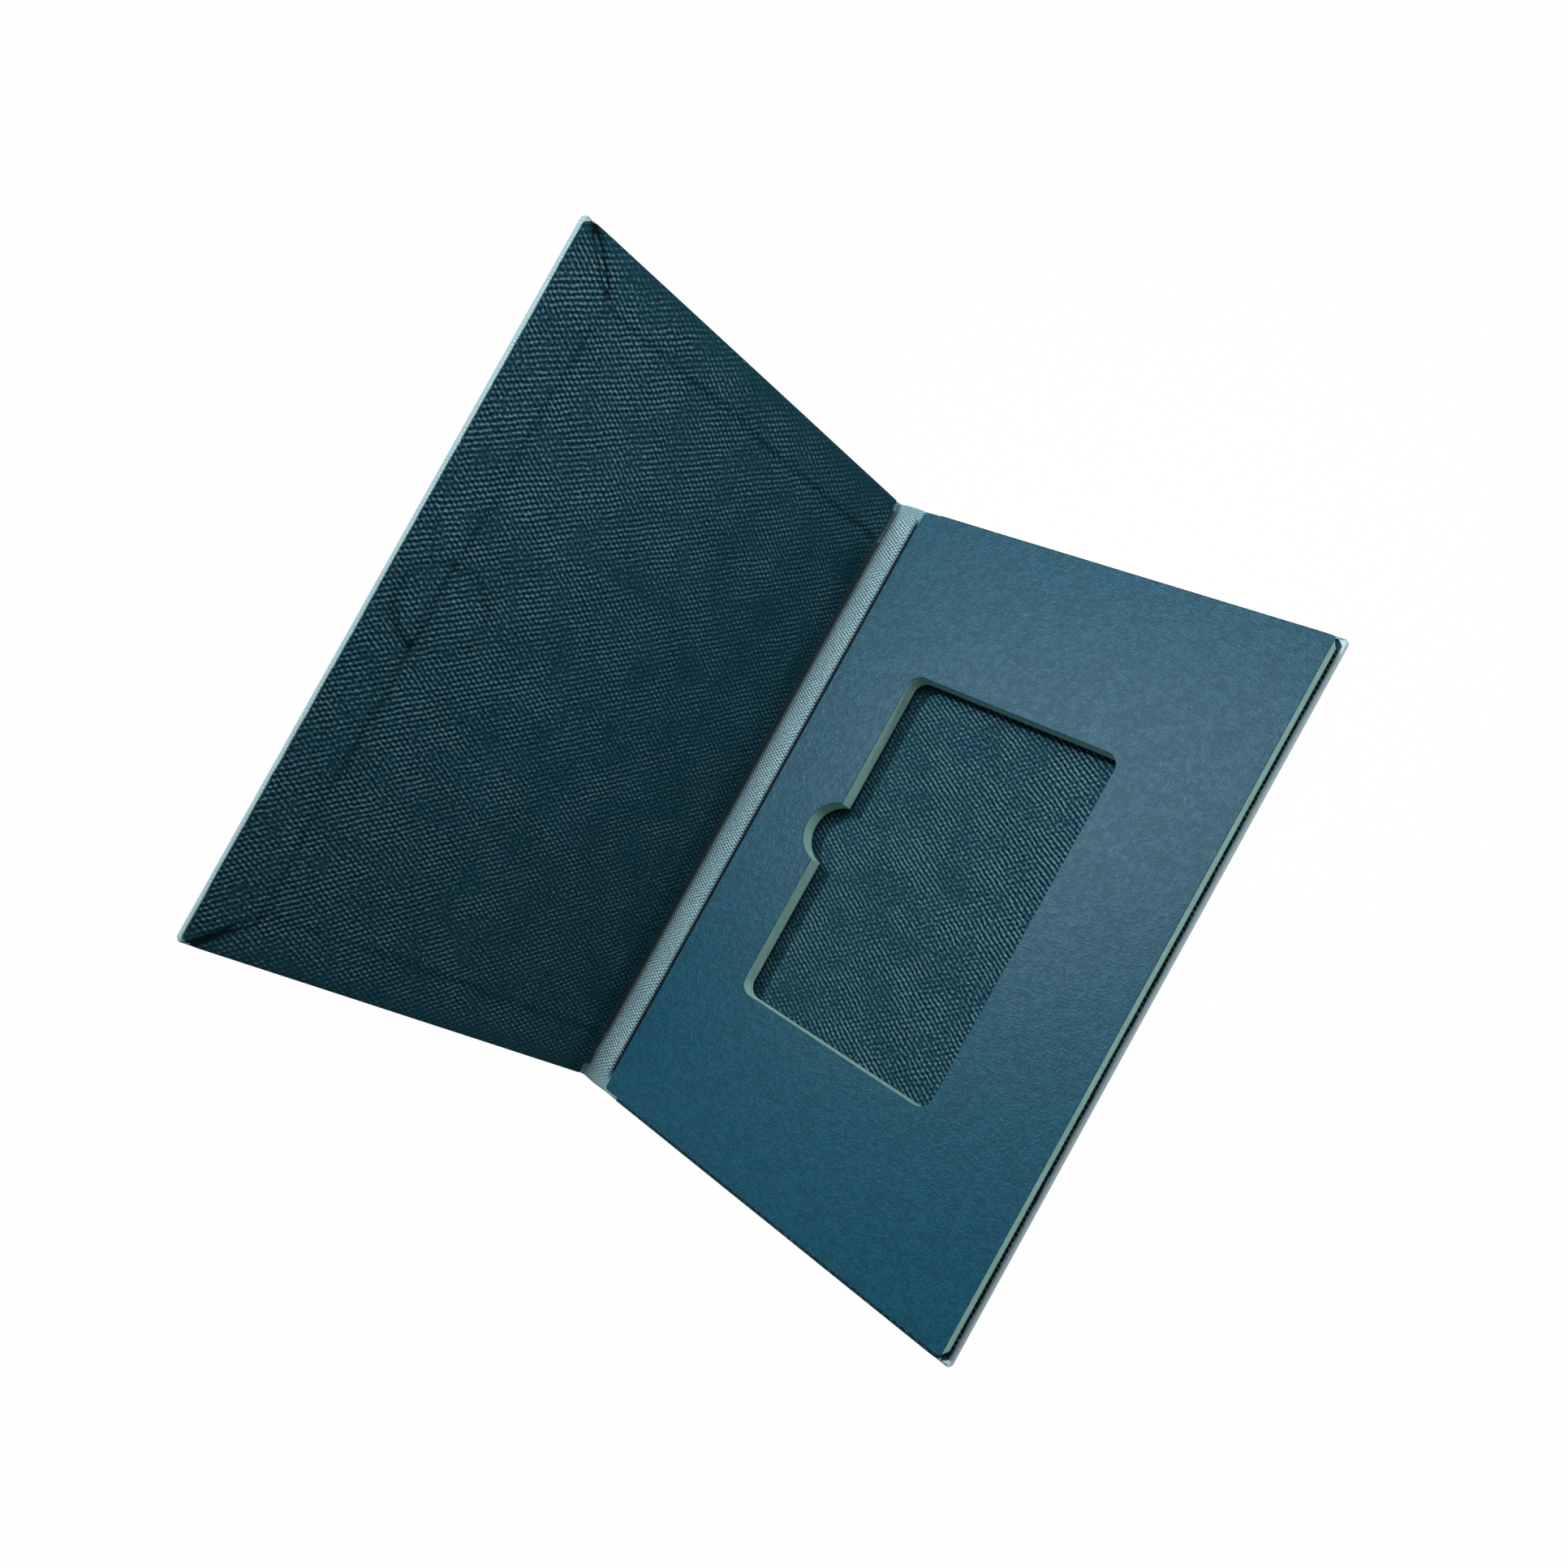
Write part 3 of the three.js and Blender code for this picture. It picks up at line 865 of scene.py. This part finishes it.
# %% A socket that Python can calculate with
class Port:
    """An output socket of a material's nodes."""

    def __init__(self, tree, socket=None):
        self.tree = tree
        self.socket = socket

    def node(self, kind, settings=None, sockets=None, output=0):
        """Adds a node: first its settings, then the values or links of its sockets."""
        made = self.tree.nodes.new("ShaderNode" + kind)
        for name, value in (settings or {}).items():
            setattr(made, name, value)
        for name, value in (sockets or {}).items():
            if isinstance(value, Port):
                self.tree.links.new(value.socket, made.inputs[name])
            else:
                made.inputs[name].default_value = value
        return Port(self.tree, made.outputs[output])

    def math(self, operation, first, second=0.0):
        return self.node("Math", {"operation": operation}, {0: first, 1: second})

    def __add__(self, other):
        return self.math("ADD", self, other)

    def __radd__(self, other):
        return self.math("ADD", other, self)

    def __sub__(self, other):
        return self.math("SUBTRACT", self, other)

    def __rsub__(self, other):
        return self.math("SUBTRACT", other, self)

    def __mul__(self, other):
        return self.math("MULTIPLY", self, other)

    def __rmul__(self, other):
        return self.math("MULTIPLY", other, self)

    def cosine(self):
        return self.math("COSINE", self)

    def clamped(self):
        return self.node("Clamp", sockets={0: self})

    def stepped(self, start, end):
        """0 below start, 1 above end and smooth between them."""
        ranges = {"Value": self, "From Min": start, "From Max": end}
        return self.node("MapRange", {"interpolation_type": "SMOOTHSTEP"}, ranges)

    def between(self, low, high):
        """A value that goes from low to high as this one goes from 0 to 1."""
        return self * (high - low) + low

    def blend(self, colour_at_0, colour_at_1):
        """A colour between two others, by this value. Mix takes colours at 6 and 7 and gives one at 2."""
        return self.node("Mix", {"data_type": "RGBA"}, {0: self, 6: colour_at_0, 7: colour_at_1}, 2)


# %% Helpers for materials
def linear(red, green, blue):
    """A colour as seen on a screen, 0 to 255, in the linear values that a shader takes."""
    shares = [value / 255 for value in (red, green, blue)]
    return (*[s / 12.92 if s <= 0.04045 else ((s + 0.055) / 1.055) ** 2.4 for s in shares], 1)


def new_material(name, **constants):
    """A material with its own constants set on the shader, and the port that its nodes start from."""
    material = bpy.data.materials.new(name)
    material.use_nodes = True
    shader = material.node_tree.nodes["Principled BSDF"]
    for socket, value in constants.items():
        shader.inputs[socket.replace("_", " ").title().replace("Ior", "IOR")].default_value = value
    return material, shader, Port(material.node_tree)


def plug(port, shader, socket):
    """Links a port to a socket of the shader."""
    port.tree.links.new(port.socket, shader.inputs[socket])


def raise_by(height, shader, strength, distance):
    """Raises the surface by a height from 0 to 1, times a distance."""
    bumped = height.node("Bump", None, {"Strength": strength, "Distance": distance, "Height": height})
    plug(bumped, shader, "Normal")


def noise_at(place, scale, detail=2.0, roughness=0.5):
    """Noise from 0 to 1 over a place, with about scale bumps for each unit of length."""
    sockets = {"Vector": place, "Scale": scale, "Detail": detail, "Roughness": roughness}
    return place.node("TexNoise", None, sockets)


def stepped_noise(place, span, **pattern):
    """Noise that is 0 below the span, 1 above it and smooth within it."""
    return noise_at(place, **pattern).stepped(*span)


def stretched(place, x, y, z):
    """A place scaled on each axis."""
    return place.node("Mapping", None, {"Vector": place, "Scale": (x, y, z)})


# %% [markdown]
# ## Woven cloth
# Both cloths are plain weaves, pasted down a little askew. Close up each is a lattice of light dots, the
# raised crossings, a millimetre apart or less; part of their light colour is painted sheen. Two sets of waves
# that cross each other draw that lattice. Noise bends the waves, and lets one set or the other win in places,
# where the dots run together into lines. The cloth was rubbed down hardest beside the spine, so its relief is
# lower there. One pattern feeds the colour, the roughness and the bump, so that they agree. The colour also
# carries
# painted light: a highlight on the free edges, sheen on the base's side of the lining, and shade in the
# folds.

# %% Threads of both cloths, and what bends and rubs them
# A wave is in turns for each millimetre, and every place and scale here is in millimetres too.
FULL_TURN = 2 * math.pi
LINING_THREADS = [
    {"wave": (0.46, 0.84), "seed": 10, "cover_strength": 0.9, "base_strength": 1.35},
    {"wave": (0.54, -0.67), "seed": 50, "cover_strength": 1.1, "base_strength": 0.5},
]
BOOK_CLOTH_THREADS = [
    {"wave": (0.66, 1.2), "seed": 10, "cover_strength": 1.9, "base_strength": 1.9},
    {"wave": (0.8, -1.0), "seed": 50, "cover_strength": 1.3, "base_strength": 1.3},
]
SPINE_PLACE = SPINE_MIDDLE / MM
SPINE_TO_COVER = 8
SPINE_TO_BASE = 12
SPINE_SPAN = (SPINE_PLACE - SPINE_TO_COVER, SPINE_PLACE + SPINE_TO_BASE)
LONG_DRIFT = {"scale": 0.09, "turns": 5.0}
SHORT_DRIFT = {"scale": 0.35, "turns": 3.2}
UNEVEN = {"scale": 0.12, "detail": 1, "span": (0.38, 0.6)}
UNEVEN_STRENGTH = (0.6, 1.2)
FIBRES = {"scale": 1.5, "strength": 1.1}
WAVE_STRENGTH = 0.19
RUBBED_SPAN = (20, 110)
RUBBED_RELIEF = (0.8, 1.25)
PRESSED_SPAN = (79, 84.5)
PRESSED_RELIEF = (1, 0.45)
EDGE_SPAN = (110.6, 111.6)
EDGE_RELIEF = (1, 0.2)
# How far the free edges' colour is lifted on the cover's side and the base's: a painted highlight.
EDGE_HIGHLIGHT_LIFTS = (0.25, 0.75)
for cloth, threads in (("lining", LINING_THREADS), ("book cloth", BOOK_CLOTH_THREADS)):
    print(cloth, "threads:", [round(1 / math.hypot(*thread["wave"]), 2) for thread in threads], "mm apart")


# %% Weave pattern
def place_on_cloth(start):
    """Where this point of the cloth lay on the cutting table, in millimetres."""
    return start.node("Attribute", {"attribute_name": "cloth_mm"}, None, "Vector")


def drift_of(place, drift):
    """How far noise pushes the threads to and fro, as an angle."""
    return (noise_at(place, drift["scale"]) - 0.5) * drift["turns"]


def coordinate(place, axis):
    """One coordinate of a place."""
    return place.node("SeparateXYZ", None, {"Vector": place}, axis)


def from_spine(place):
    """How far a place is from the middle of the spine, along the cloth."""
    return place.math("ABSOLUTE", coordinate(place, "X") - SPINE_PLACE)


def for_side(place, on_cover, on_base):
    """A value that changes over the spine, from the cover's side to the base's."""
    return coordinate(place, "X").stepped(*SPINE_SPAN).between(on_cover, on_base)


def wave_across(place, threads):
    """One set of threads: a wave from -1 to 1, bent by noise and weaker in places."""
    turns = [FULL_TURN * value for value in (*threads["wave"], 0)]
    seed = [threads["seed"]] * 3
    phase = place.node("VectorMath", {"operation": "DOT_PRODUCT"}, {0: place, 1: turns}, "Value")
    elsewhere = place.node("VectorMath", {"operation": "ADD"}, {0: place, 1: seed})
    drift = drift_of(elsewhere, LONG_DRIFT) + drift_of(elsewhere, SHORT_DRIFT)
    strength = stepped_noise(elsewhere, **UNEVEN).between(*UNEVEN_STRENGTH)
    by_panel = for_side(place, threads["cover_strength"], threads["base_strength"])
    return (phase + drift).cosine() * strength * by_panel


def worn_and_highlit_edge(place):
    """1 where the cloth goes round the free edge of a panel, where its relief is worn lower and its colour is
    lifted as a painted highlight, and 0 elsewhere.
    """
    return from_spine(place).stepped(*EDGE_SPAN)


def relief_left(place):
    """How much of the relief is left where the cloth was rubbed: less by the spine and at every edge."""
    rubbed = from_spine(place).stepped(*RUBBED_SPAN).between(*RUBBED_RELIEF)
    from_middle = place.math("ABSOLUTE", coordinate(place, "Y"))
    pressed = from_middle.stepped(*PRESSED_SPAN).between(*PRESSED_RELIEF)
    return rubbed * pressed * worn_and_highlit_edge(place).between(*EDGE_RELIEF)


def weave(place, threads):
    """The relief of the weave, from about 0 in a gap to 1 on a raised crossing."""
    both = wave_across(place, threads[0]) + wave_across(place, threads[1])
    fibres = (noise_at(place, FIBRES["scale"]) - 0.5) * FIBRES["strength"]
    return ((both * WAVE_STRENGTH + fibres) * relief_left(place) + 0.5).clamped()


# %% Cloth materials
PATCHES = {"scale": 0.09, "detail": 3, "roughness": 0.6, "span": (0.3, 0.7)}
PATCH_GAIN = (0.9, 1)
THREAD_GAIN = 1.45
CROWN_SPAN = (0.5, 1)
# How far the painted shade in folds can darken the cloth's colour.
PAINTED_SHADE_STRENGTH = 0.95
CLOTH_ROUGHNESS = (0.86, 0.66)
WEAVE_RELIEF = 0.16 * MM


def woven(name, threads, gap, thread, crown_with_sheen, fold, bump, base_side_sheen_gain, edge_highlight_lifts, **constants):
    """A woven cloth, coloured from its gaps over its threads to their crowns, with painted sheen partly in
    the crowns' colour, painted shade in its folds and a painted highlight on its free edges.
    """
    material, shader, start = new_material(name, **constants)
    place = place_on_cloth(start)
    raised = weave(place, threads)
    patches = stepped_noise(place, **PATCHES).between(*PATCH_GAIN)
    # Painted highlight: the colour is lifted at the free edges, more on the base's side.
    lift = worn_and_highlit_edge(place) * for_side(place, *edge_highlight_lifts)
    # Painted sheen: the base's side of the cloth is brightened by its gain.
    level = raised * (patches * for_side(place, 1, base_side_sheen_gain)) + lift
    body = (level * THREAD_GAIN).clamped().blend(gap, thread)
    # The crowns' colour is partly painted sheen on the raised crossings.
    crowns = level.stepped(*CROWN_SPAN)
    # Painted shade: the stored share darkens the colour towards the fold colour.
    painted_shade = start.node("Attribute", {"attribute_name": "painted_shade_share"}, None, "Fac") * PAINTED_SHADE_STRENGTH
    plug(painted_shade.clamped().blend(crowns.blend(body, crown_with_sheen), fold), shader, "Base Color")
    plug(raised.between(*CLOTH_ROUGHNESS), shader, "Roughness")
    raise_by(raised, shader, bump, WEAVE_RELIEF)
    return material


# The crown colours below are partly painted sheen, and the fold colours are painted shade.
dark_weave = woven(
    "dark_woven_lining",
    LINING_THREADS,
    gap=linear(0, 20, 28),
    thread=linear(26, 70, 83),
    crown_with_sheen=linear(100, 134, 146),
    fold=linear(0, 10, 15),
    bump=0.7,
    base_side_sheen_gain=1.08,
    edge_highlight_lifts=(0, 0),
    specular_ior_level=0.05,
)
light_weave = woven(
    "light_book_cloth",
    BOOK_CLOTH_THREADS,
    gap=linear(46, 82, 94),
    thread=linear(144, 182, 192),
    crown_with_sheen=linear(200, 228, 234),
    fold=linear(0, 10, 16),
    bump=0.5,
    base_side_sheen_gain=1,
    edge_highlight_lifts=EDGE_HIGHLIGHT_LIFTS,
    specular_ior_level=0.12,
)
print("cloths:", dark_weave.name, "and", light_weave.name)

# %% [markdown]
# ## Paper, core and board
# The insert's top sheet is smooth dyed paper with a fine mottle. The core and the backing show only as a cut
# edge. A cutting blade leaves faint upright lines there, and the core has the fine open cells of foam board.
# These parts don't bend, so their patterns may read Object coordinates.

# %% Materials of the insert
PAPER_COLOURS = (linear(0, 63, 84), linear(8, 87, 110))
MOTTLE = {"scale": 0.7, "detail": 4, "roughness": 0.6, "span": (0.36, 0.64)}
SPECKLE = {"scale": 2.2, "detail": 2, "span": (0.4, 0.7)}
MOTTLE_SHARE = 0.45
PAPER_ROUGHNESS = (0.4, 0.3)
PAPER_BUMP = 0.6
PAPER_RELIEF = 0.075 * MM
CELL_DETAIL = 3
LINE_STRETCH = 0.08
LINES = {"scale": 3.5, "detail": 1}
CUT_PATCHES = {"scale": 0.12, "detail": 2}
CUT_COLOUR_SHARES = {"cells": 0.4, "lines": 0.3, "patches": 0.3}
CUT_COLOUR_SPAN = (0.3, 0.7)
CUT_ROUGHNESS = (0.7, 0.85)
CELL_RELIEF_SHARE = 0.6
CUT_RELIEF = 0.1 * MM


def place_on_piece(start):
    """The place on the piece itself, in millimetres."""
    coordinates = start.node("TexCoord", None, None, "Object")
    return stretched(coordinates, 1 / MM, 1 / MM, 1 / MM)


def mottled_paper():
    """Smooth dyed paper with a fine mottle."""
    material, shader, start = new_material("dyed_paper", specular_ior_level=0.15)
    place = place_on_piece(start)
    mottle = stepped_noise(place, **MOTTLE)
    speckle = stepped_noise(place, **SPECKLE)
    grain = mottle * MOTTLE_SHARE + speckle * (1 - MOTTLE_SHARE)
    plug(grain.blend(*PAPER_COLOURS), shader, "Base Color")
    plug(grain.between(*PAPER_ROUGHNESS), shader, "Roughness")
    raise_by(grain, shader, PAPER_BUMP, PAPER_RELIEF)
    return material


def cut_edge(name, low, high, cell_scale, bump):
    """Card or foam that shows as a cut edge, with cells and faint upright lines."""
    material, shader, start = new_material(name, specular_ior_level=0.04)
    place = place_on_piece(start)
    cells = noise_at(place, cell_scale, CELL_DETAIL)
    lines = noise_at(stretched(place, 1, 1, LINE_STRETCH), **LINES)
    patches = noise_at(place, **CUT_PATCHES)
    shares = CUT_COLOUR_SHARES
    mixed = cells * shares["cells"] + lines * shares["lines"] + patches * shares["patches"]
    plug(mixed.stepped(*CUT_COLOUR_SPAN).blend(low, high), shader, "Base Color")
    plug(cells.between(*CUT_ROUGHNESS), shader, "Roughness")
    relief = cells * CELL_RELIEF_SHARE + lines * (1 - CELL_RELIEF_SHARE)
    raise_by(relief, shader, bump, CUT_RELIEF)
    return material


face_paper = mottled_paper()
pale_core = cut_edge("pale_foam_core", linear(138, 190, 178), linear(170, 220, 208), cell_scale=3, bump=0.3)
backing = cut_edge("backing_board", linear(150, 182, 182), linear(182, 208, 204), cell_scale=4, bump=0.3)
grey_board = cut_edge("grey_board", linear(126, 122, 112), linear(152, 146, 136), cell_scale=2, bump=0.4)
dark_foam = cut_edge("dark_foam_tape", linear(14, 18, 20), linear(26, 30, 33), cell_scale=5, bump=0.6)
print("papers, boards and foams:", [m.name for m in (face_paper, pale_core, backing, grey_board, dark_foam)])

# %% [markdown]
# ## Plated steel
# The magnet and the steel disc that it pulls on are let into the boards and don't show. They still get the
# fine turned rings and the soft shine of plated steel, because the model may be opened up.

# %% Material of the two discs
RING_SCALE = 1.2
RING_WOBBLE = 1.5
STEEL_COLOURS = (linear(176, 180, 184), linear(200, 203, 206))
STEEL_ROUGHNESS = (0.28, 0.4)


def plated_steel():
    """Nickel-plated steel with fine turned rings."""
    material, shader, start = new_material("nickel_plate", metallic=1.0)
    settings = {"wave_type": "RINGS", "rings_direction": "Z"}
    sockets = {"Vector": place_on_piece(start), "Scale": RING_SCALE, "Distortion": RING_WOBBLE}
    rings = start.node("TexWave", settings, sockets, "Fac")
    plug(rings.blend(*STEEL_COLOURS), shader, "Base Color")
    plug(rings.between(*STEEL_ROUGHNESS), shader, "Roughness")
    return material


nickel = plated_steel()
print("steel:", nickel.name)

# %% [markdown]
# ## What each piece wears and moves with
# The linings and the insert ride on one body of the frame each. The pieces that cross a hinge are only baked
# in place, and the CAD nodes that the finer pieces stand for are hidden, so that a node and its finer copy
# are never seen at once.

# %% Materials
wears = {
    outer_cloth_base: (light_weave, "outer_cloth"),
    outer_cloth_cover: (light_weave, "outer_cloth"),
    hinge_cloth_base: (light_weave, "outer_cloth"),
    hinge_cloth_cover: (light_weave, "outer_cloth"),
    lining_base: (dark_weave, "lining_cloth"),
    lining_cover: (dark_weave, "lining_cloth"),
    insert_sheet: (face_paper, "face_paper"),
    insert_block: (pale_core, "pale_core"),
    insert_foot: (backing, "backing_board"),
}
for piece, (material, slot) in wears.items():
    piece.data.materials.clear()
    piece.data.materials.append(material)

node_wears = {"board": grey_board, "tape": dark_foam, "disc": nickel, "magnet": nickel}
for name, node in frame["nodes"].items():
    for part, material in node_wears.items():
        if part in name:
            node.data.materials.clear()
            node.data.materials.append(material)
print("dressed:", len(wears), "pieces over", len(frame["nodes"]), "CAD nodes")

# %% Bodies that carry the pieces, and the CAD nodes that these stand for
for piece in (lining_base, insert_sheet, insert_block, insert_foot):
    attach(piece, "base")
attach(lining_cover, "cover")
for piece in (outer_cloth_base, hinge_cloth_base):
    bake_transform(piece)
cover_x, cover_z = on_cover(BEND_END, COVER_AXIS.z)
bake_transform(outer_cloth_cover)
inner_x, inner_z = on_cover(CREASE_ALONG_COVER, STRIP_LEVEL)
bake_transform(hinge_cloth_cover)

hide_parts("base_wrap", "base_joint_outer", "spine_wrap")
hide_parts("cover_wrap", "cover_joint_outer", "spine_wrap")
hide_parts("base_hinge_lap", "base_joint_inner", "spine_lining")
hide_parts("cover_hinge_lap", "cover_joint_inner", "spine_lining")
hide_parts("base_lining")
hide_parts("cover_lining")
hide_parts("insert_face")
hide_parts("insert_core")
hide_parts("insert_backing")
print("the cover's bends end", round(cover_z / MM, 2), "and", round(inner_z / MM, 2), "mm over the table")

# %% Flat size of each sheet
half_width = FREE_EDGE - SPINE_MIDDLE + WRAP_TOP + TURN_IN
full_length = 2 * (PANEL_END + WRAP_TOP + TURN_IN)
strip_length = 2 * PANEL_END - STRIP_END_TOP - STRIP_END_BOTTOM
for piece, line, board in ((hinge_cloth_base, base_line, "base_board"),
                           (hinge_cloth_cover, cover_line, "cover_board")):
    strip_width = float(np.linalg.norm(np.diff(line, axis=0), axis=1).sum())
lining_width = FREE_EDGE - HINGE_EDGE - LINING_FROM_HINGE
for piece, setback, board in ((lining_base, BASE_SETBACK, "base_board"),
                              (lining_cover, COVER_SETBACK, "cover_board")):
    flat = (lining_width - setback, 2 * (PANEL_END - END_SETBACK))
print("flat sizes in mm:", [[round(side / MM, 1) for side in size] for size in
                            ((half_width, full_length), (strip_width, strip_length), flat)])

# %% [markdown]
# ## Floor, light and camera
# The photo shows the folder on plain white. A white floor that glows only for the camera gives that, and it
# still takes a faint shadow. A lamp from the far right lights the card window's left wall and leaves its far
# wall dark. The lamp over the hinge shines just past the cover's edge, so the strip beside the cover is half
# in shade. A small near lamp and a soft one above give the smooth sheet its sheen, and a weak white world
# fills in the rest. Their places were found by comparing the brightness of many places with the photo.

# %% Floor and world
FLOOR_SIZE = 6
FLOOR_GAP = 0.02 * MM
FLOOR_GLOW_SHARE = 0.985
FLOOR_COLOUR = (0.8, 0.8, 0.8, 1)
WHITE = (1, 1, 1, 1)
WORLD_FILL = 0.1


def seen_directly(start):
    """1 for what the camera sees straight, in a mirror or through glass, and 0 for light that bounces."""
    rays = [start.node("LightPath", None, None, name) for name in
            ("Is Camera Ray", "Is Glossy Ray", "Is Transmission Ray")]
    return (rays[0] + rays[1] + rays[2]).clamped()


def white_floor():
    """A floor that the camera sees as white, apart from the object's shadow."""
    start_fresh()
    bpy.ops.mesh.primitive_plane_add(size=FLOOR_SIZE, location=(0, 0, -FLOOR_GAP))
    floor = named("floor", (1, 1, 1))
    material = bpy.data.materials.new("white_floor")
    material.use_nodes = True
    tree = material.node_tree
    tree.nodes.remove(tree.nodes["Principled BSDF"])
    start = Port(tree)
    matt = start.node("BsdfDiffuse", None, {"Color": FLOOR_COLOUR})
    glow = start.node("Emission", None, {"Color": WHITE, "Strength": 1.0})
    mixed = start.node("MixShader", None, {0: seen_directly(start) * FLOOR_GLOW_SHARE, 1: matt, 2: glow})
    tree.links.new(mixed.socket, tree.nodes["Material Output"].inputs["Surface"])
    floor.data.materials.append(material)


def white_world():
    """A world that the camera sees as white and that lights the object weakly."""
    world = bpy.data.worlds.new("studio")
    bpy.context.scene.world = world
    world.use_nodes = True
    start = Port(world.node_tree)
    background = world.node_tree.nodes["Background"]
    plug(seen_directly(start).between(WORLD_FILL, 1), background, "Strength")
    background.inputs["Color"].default_value = WHITE


white_floor()
white_world()
print("floor:", FLOOR_SIZE, "m wide, world:", WORLD_FILL)

# %% Lamps
LAMPS = {
    "near_lamp": {"place": (0.02, 0.093, 0.17), "size": 0.1, "power": 0.15},
    "hinge_lamp": {"place": (-0.608, 0.217, 1.4), "size": 0.1, "power": 12.2},
    "far_right_lamp": {"place": (1.2, 1.091, 0.17), "size": 0.2, "power": 4.9},
    "soft_lamp": {"place": (-0.38, 0.42, 1.4), "size": 0.2, "power": 1.8},
}
AIM = Vector((-0.03, 0.01, 0.03))
for name, lamp in LAMPS.items():
    start_fresh()
    bpy.ops.object.light_add(type="AREA", location=lamp["place"])
    light = bpy.context.object
    light.name = name
    light.data.shape = "SQUARE"
    light.data.size = lamp["size"]
    light.data.energy = lamp["power"]
    light.visible_camera = False
    light.rotation_euler = (AIM - Vector(lamp["place"])).to_track_quat("-Z", "Y").to_euler()
    print(name, "gives", lamp["power"], "W")

# %% Camera, where the photo was taken from
CAMERA_PLACE = (105.12 * MM, -9.65 * MM, 239.83 * MM)
CAMERA_TURN = (17.865, 27.9, 33.334)
CAMERA_LENS = 25.546
SHIFT_X = 0.00581
SHIFT_Y = 0.03154
start_fresh()
bpy.ops.object.camera_add(location=CAMERA_PLACE, rotation=[math.radians(angle) for angle in CAMERA_TURN])
camera = bpy.context.object
camera.name = "photo_camera"
camera.data.lens = CAMERA_LENS
camera.data.shift_x = SHIFT_X
camera.data.shift_y = SHIFT_Y
camera.data.clip_start = MM
bpy.context.scene.camera = camera
bpy.context.scene.view_settings.view_transform = "Standard"
print("the camera sees", round(math.degrees(camera.data.angle), 1), "degrees")
